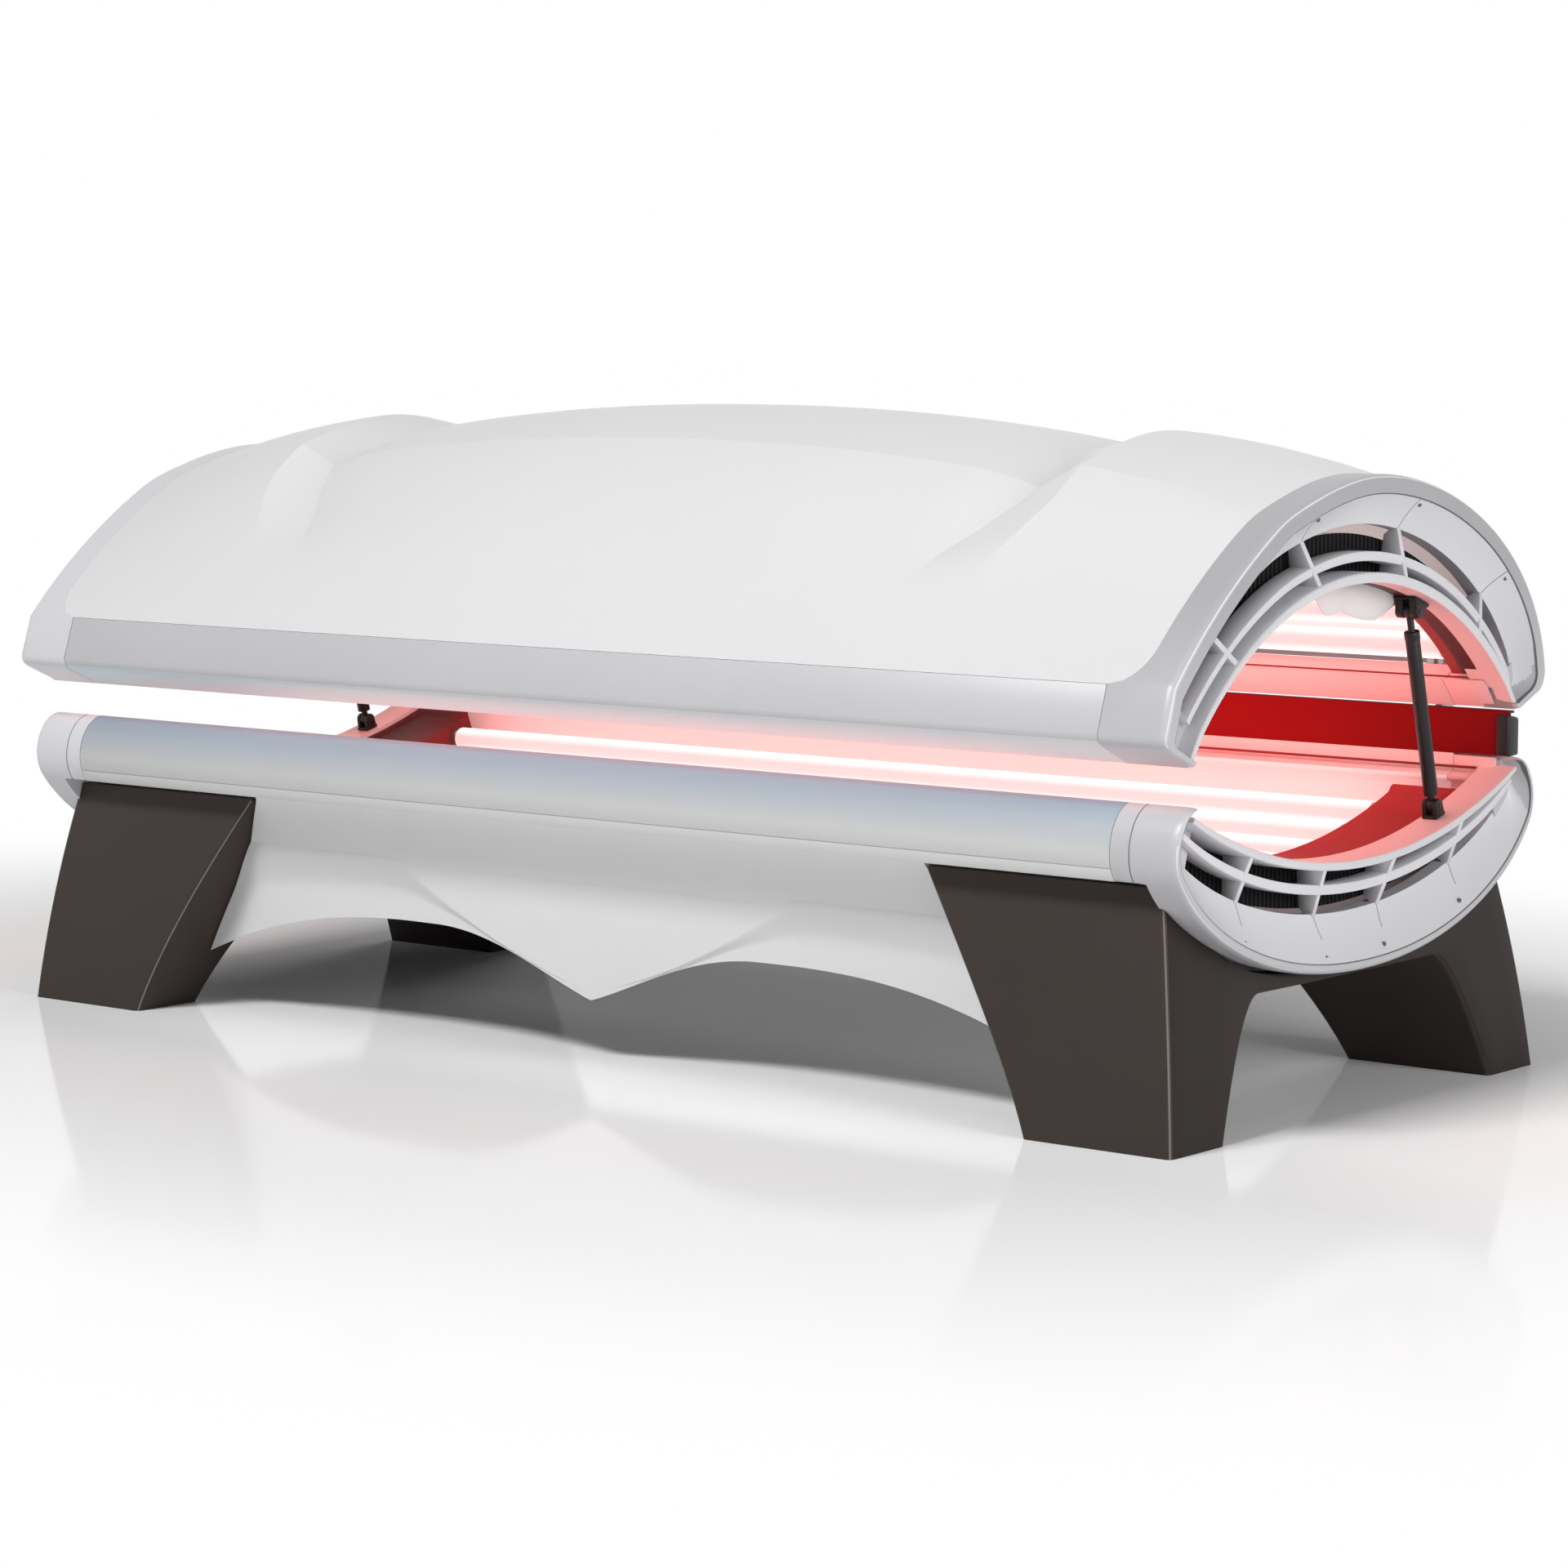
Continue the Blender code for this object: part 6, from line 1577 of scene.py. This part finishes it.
def pivot_mount(name, pivot, centre_z, radius, half_width, half_length):
    """Forked bracket that carries one end of a gas spring on a ring, with its pin."""
    out = Vector((0.0, pivot.y, pivot.z - centre_z))
    seat = radius - MOUNT_SEAT - out.length
    out.normalize()
    side = Vector((1.0, 0.0, 0.0))
    run = out.cross(side)

    def place(x, along_run, height):
        return pivot + side * x + run * along_run + out * height

    plate = [[place(x * half_width, y * half_length, height) for x, y in ((-1, -1), (1, -1), (1, 1), (-1, 1))]
             for height in (seat, seat - MOUNT_PLATE)]
    parts = [lofted("plate", plate)]
    foot = half_length * CHEEK_TAPER
    profile = [(-foot, seat - CHEEK_START), (foot, seat - CHEEK_START)]
    turns = [math.pi * share for share in shares(CHEEK_STEPS)]
    profile += [(CHEEK_RADIUS * math.cos(turn), -CHEEK_RADIUS * math.sin(turn)) for turn in turns]
    for hand in (-1, 1):
        cheek = [[place(hand * x, *point) for point in profile]
                 for x in (EYE_WIDTH / 2 + CHEEK_PLAY, half_width)]
        parts.append(lofted("cheek", cheek))
    end = half_width + PIN_PROUD
    parts.append(tube("pin", place(-end, 0.0, 0.0), place(end, 0.0, 0.0), PIN_RADIUS, PIN_SIDES))
    return dress(joined(name, parts), "black", edge=MOUNT_EDGE, sharp=40.0)


def build_services():
    """Fan, mains inlet and the sheet-metal parts inside the tub."""
    settle_copies((("fan_housing", "bench", "plastic", "black_plastic"),
                   ("fan_rotor", "fan", "plastic", "black_plastic"),
                   ("mains_inlet", "bench", "plastic", "black_plastic"),
                   ("bench_chassis", "bench", "zinc", "zinc_sheet"),
                   ("ballast_tray", "bench", "zinc", "zinc_sheet")), SHEET_EDGE)


def area_light(name, place, target, width, height, power):
    """Soft box that faces a point."""
    bpy.ops.object.light_add(type="AREA", location=place)
    lamp = bpy.context.object
    lamp.name = name
    lamp.data.shape = "RECTANGLE"
    lamp.data.size, lamp.data.size_y = width, height
    lamp.data.energy = power
    lamp.rotation_euler = (Vector(target) - Vector(place)).to_track_quat("-Z", "Y").to_euler()
    return lamp


def floor_look():
    """Polished pale floor that runs out into the white of the backdrop."""
    material = bpy.data.materials.new("Studio floor")
    material.use_nodes = True
    tree = material.node_tree
    tree.nodes.remove(tree.nodes["Principled BSDF"])
    seen = studio_mask(tree)
    matt = add_node(tree, "BsdfDiffuse", {"Color": blended(tree, seen, FLOOR_TONE, WHITE)})
    polish = add_node(tree, "BsdfGlossy", {"Color": (*WHITE, 1.0), "Roughness": FLOOR_ROUGHNESS})
    shine = ranged(tree, along(tree, "Y"), *FLOOR_SHINE)
    near = add_node(tree, "MixShader", {0: shine, 1: matt.outputs["BSDF"], 2: polish.outputs["BSDF"]})
    oval = add_node(tree, "Mapping", {"Vector": place_in(tree), "Scale": FLOOR_OVAL}).outputs["Vector"]
    reach = add_node(tree, "VectorMath", {0: oval}, operation="LENGTH").outputs["Value"]
    fade = calculated(tree, "MULTIPLY", ranged(tree, reach, *FLOOR_FADE, kind="SMOOTHSTEP"), seen)
    white = add_node(tree, "Emission").outputs["Emission"]
    mixed = add_node(tree, "MixShader", {0: fade, 1: near.outputs["Shader"], 2: white})
    feed(tree, tree.nodes["Material Output"], {"Surface": mixed.outputs["Shader"]})
    return material


def build_stage():
    """Pale glossy floor, soft studio light, white surroundings and the camera of the photograph."""
    scene = bpy.context.scene
    bpy.ops.mesh.primitive_plane_add(size=FLOOR_SIZE)
    floor = bpy.context.object
    floor.name = "studio_floor"
    floor.data.materials.append(floor_look())
    for name, *setting in SOFT_BOXES:
        area_light(name, *setting).visible_glossy = name != "back_light"
    scene.world = scene.world or bpy.data.worlds.new("Studio")
    scene.world.use_nodes = True
    tree = scene.world.node_tree
    feed(tree, tree.nodes["Background"], {"Color": blended(tree, studio_mask(tree), ROOM_LIGHT, WHITE)})
    turn = [math.radians(angle) for angle in CAMERA_TURN]
    bpy.ops.object.camera_add(location=CAMERA_PLACE, rotation=turn)
    camera = bpy.context.object
    camera.data.lens, camera.data.sensor_width = CAMERA_LENS, CAMERA_SENSOR
    scene.camera = camera
    scene.view_settings.view_transform = "Standard"


# Add-on

def size(label, text, default):
    """Length property."""
    return FloatProperty(name=label, description=text, default=default, min=0.0, unit="LENGTH", precision=4)


def colour(label, text, default):
    """Colour property."""
    return FloatVectorProperty(name=label, description=text, default=default, subtype="COLOR",
                               min=0.0, max=1.0)


class TherapyBedSizes(bpy.types.PropertyGroup):
    """Sizes of the bed's details."""

    leg_edge: size("Leg edge", "Radius of the edges of the legs", 0.009)
    rail_edge: size("Rail edge", "Radius of the edges of the rails", 0.0012)
    seam_width: size("Seam width", "Width of the shadow gaps on the end frames", 0.0016)
    screw_radius: size("Screw radius", "Radius of the screw heads on the end frames", 0.0035)
    glow_strength: FloatProperty(name="Glow", description="Strength of the lamps' light",
                                 default=1.0, min=0.0)
    glow_cast: FloatProperty(name="Cast", description="Light that the lamps throw, against their glow",
                             default=2.2, min=0.0)


class TherapyBedColours(bpy.types.PropertyGroup):
    """Colours of the bed."""

    shell: colour("Shell", "Lacquer of the canopy and the skirt", (0.83, 0.83, 0.84))
    frame: colour("Coves", "Coves, ribs and rings of the end frames", (0.78, 0.78, 0.81))
    band: colour("Bands", "Outside of the end frames and strip under the canopy shell", (0.48, 0.48, 0.50))
    rail: colour("Rails", "Aluminium rails", (0.66, 0.66, 0.66))
    leg: colour("Legs", "Leg arches", (0.054, 0.043, 0.039))
    red: colour("Red", "Covers over the lamp ends and the rear panel", (0.42, 0.009, 0.011))
    glow: colour("Glow", "Light of the lamps", (1.0, 0.34, 0.32))
    black: colour("Black", "Gas springs and inner parts", (0.016, 0.015, 0.016))


class StepOperator:
    """Shared behaviour of the operators: each builds one group of pieces."""

    bl_options = {"REGISTER", "UNDO"}
    build = None

    def execute(self, context):
        """Build the pieces of this step."""
        type(self).build()
        return {"FINISHED"}


class THERAPY_OT_shell(StepOperator, bpy.types.Operator):
    """Build the white canopy shell"""

    bl_idname = "therapy_bed.shell"
    bl_label = "Canopy Shell"
    build = staticmethod(build_shell)


class THERAPY_OT_end_frames(StepOperator, bpy.types.Operator):
    """Build the ribbed ventilation grilles at the ends"""

    bl_idname = "therapy_bed.end_frames"
    bl_label = "End Frames"
    build = staticmethod(build_end_frames)


class THERAPY_OT_rails(StepOperator, bpy.types.Operator):
    """Build the rails of bench and canopy"""

    bl_idname = "therapy_bed.rails"
    bl_label = "Rails"
    build = staticmethod(build_rails)


class THERAPY_OT_sheets(StepOperator, bpy.types.Operator):
    """Build the clear acrylic sheets"""

    bl_idname = "therapy_bed.sheets"
    bl_label = "Clear Sheets"
    build = staticmethod(build_sheets)


class THERAPY_OT_lamps(StepOperator, bpy.types.Operator):
    """Build the lamps and their reflectors"""

    bl_idname = "therapy_bed.lamps"
    bl_label = "Lamps"
    build = staticmethod(build_lamps)


class THERAPY_OT_socket_covers(StepOperator, bpy.types.Operator):
    """Build the covers over the lamp sockets"""

    bl_idname = "therapy_bed.socket_covers"
    bl_label = "Socket Covers"
    build = staticmethod(build_socket_covers)


class THERAPY_OT_skirt(StepOperator, bpy.types.Operator):
    """Build the front skirt and the tub"""

    bl_idname = "therapy_bed.skirt"
    bl_label = "Skirt and Tub"
    build = staticmethod(build_skirt)


class THERAPY_OT_legs(StepOperator, bpy.types.Operator):
    """Build the leg arches"""

    bl_idname = "therapy_bed.legs"
    bl_label = "Legs"
    build = staticmethod(build_legs)


class THERAPY_OT_hinge(StepOperator, bpy.types.Operator):
    """Build the hinge and the rear panel"""

    bl_idname = "therapy_bed.hinge"
    bl_label = "Hinge and Rear Panel"
    build = staticmethod(build_hinge)


class THERAPY_OT_gas_springs(StepOperator, bpy.types.Operator):
    """Build the gas springs and their mounts"""

    bl_idname = "therapy_bed.gas_springs"
    bl_label = "Gas Springs"
    build = staticmethod(build_gas_springs)


class THERAPY_OT_services(StepOperator, bpy.types.Operator):
    """Build the fan, the mains inlet and the inner metalwork"""

    bl_idname = "therapy_bed.services"
    bl_label = "Inner Parts"
    build = staticmethod(build_services)


class THERAPY_OT_stage(StepOperator, bpy.types.Operator):
    """Set the floor, the light and the camera"""

    bl_idname = "therapy_bed.stage"
    bl_label = "Stage"
    build = staticmethod(build_stage)


STEPS = (THERAPY_OT_shell, THERAPY_OT_end_frames, THERAPY_OT_rails, THERAPY_OT_sheets, THERAPY_OT_lamps,
         THERAPY_OT_socket_covers, THERAPY_OT_skirt, THERAPY_OT_legs, THERAPY_OT_hinge,
         THERAPY_OT_gas_springs, THERAPY_OT_services, THERAPY_OT_stage)


class THERAPY_PT_panel(bpy.types.Panel):
    """Sizes, colours and building steps of the bed"""

    bl_idname = "THERAPY_PT_panel"
    bl_label = "Therapy Bed"
    bl_space_type = "VIEW_3D"
    bl_region_type = "UI"
    bl_category = "Therapy Bed"

    def draw(self, context):
        """List the properties and the steps."""
        for group in (context.scene.therapy_bed_sizes, context.scene.therapy_bed_colours):
            box = self.layout.box()
            for key in group.__annotations__:
                box.prop(group, key)
        for step in STEPS:
            self.layout.operator(step.bl_idname)


CLASSES = (TherapyBedSizes, TherapyBedColours, *STEPS, THERAPY_PT_panel)


def register():
    """Add the classes and the properties."""
    for item in CLASSES:
        bpy.utils.register_class(item)
    bpy.types.Scene.therapy_bed_sizes = PointerProperty(type=TherapyBedSizes)
    bpy.types.Scene.therapy_bed_colours = PointerProperty(type=TherapyBedColours)


def unregister():
    """Remove the properties and the classes."""
    del bpy.types.Scene.therapy_bed_colours
    del bpy.types.Scene.therapy_bed_sizes
    for item in reversed(CLASSES):
        bpy.utils.unregister_class(item)


def main():
    """Build the whole bed and its stage."""
    register()
    for step in STEPS:
        group, name = step.bl_idname.split(".")
        getattr(getattr(bpy.ops, group), name)()


if __name__ == "__main__":
    main()
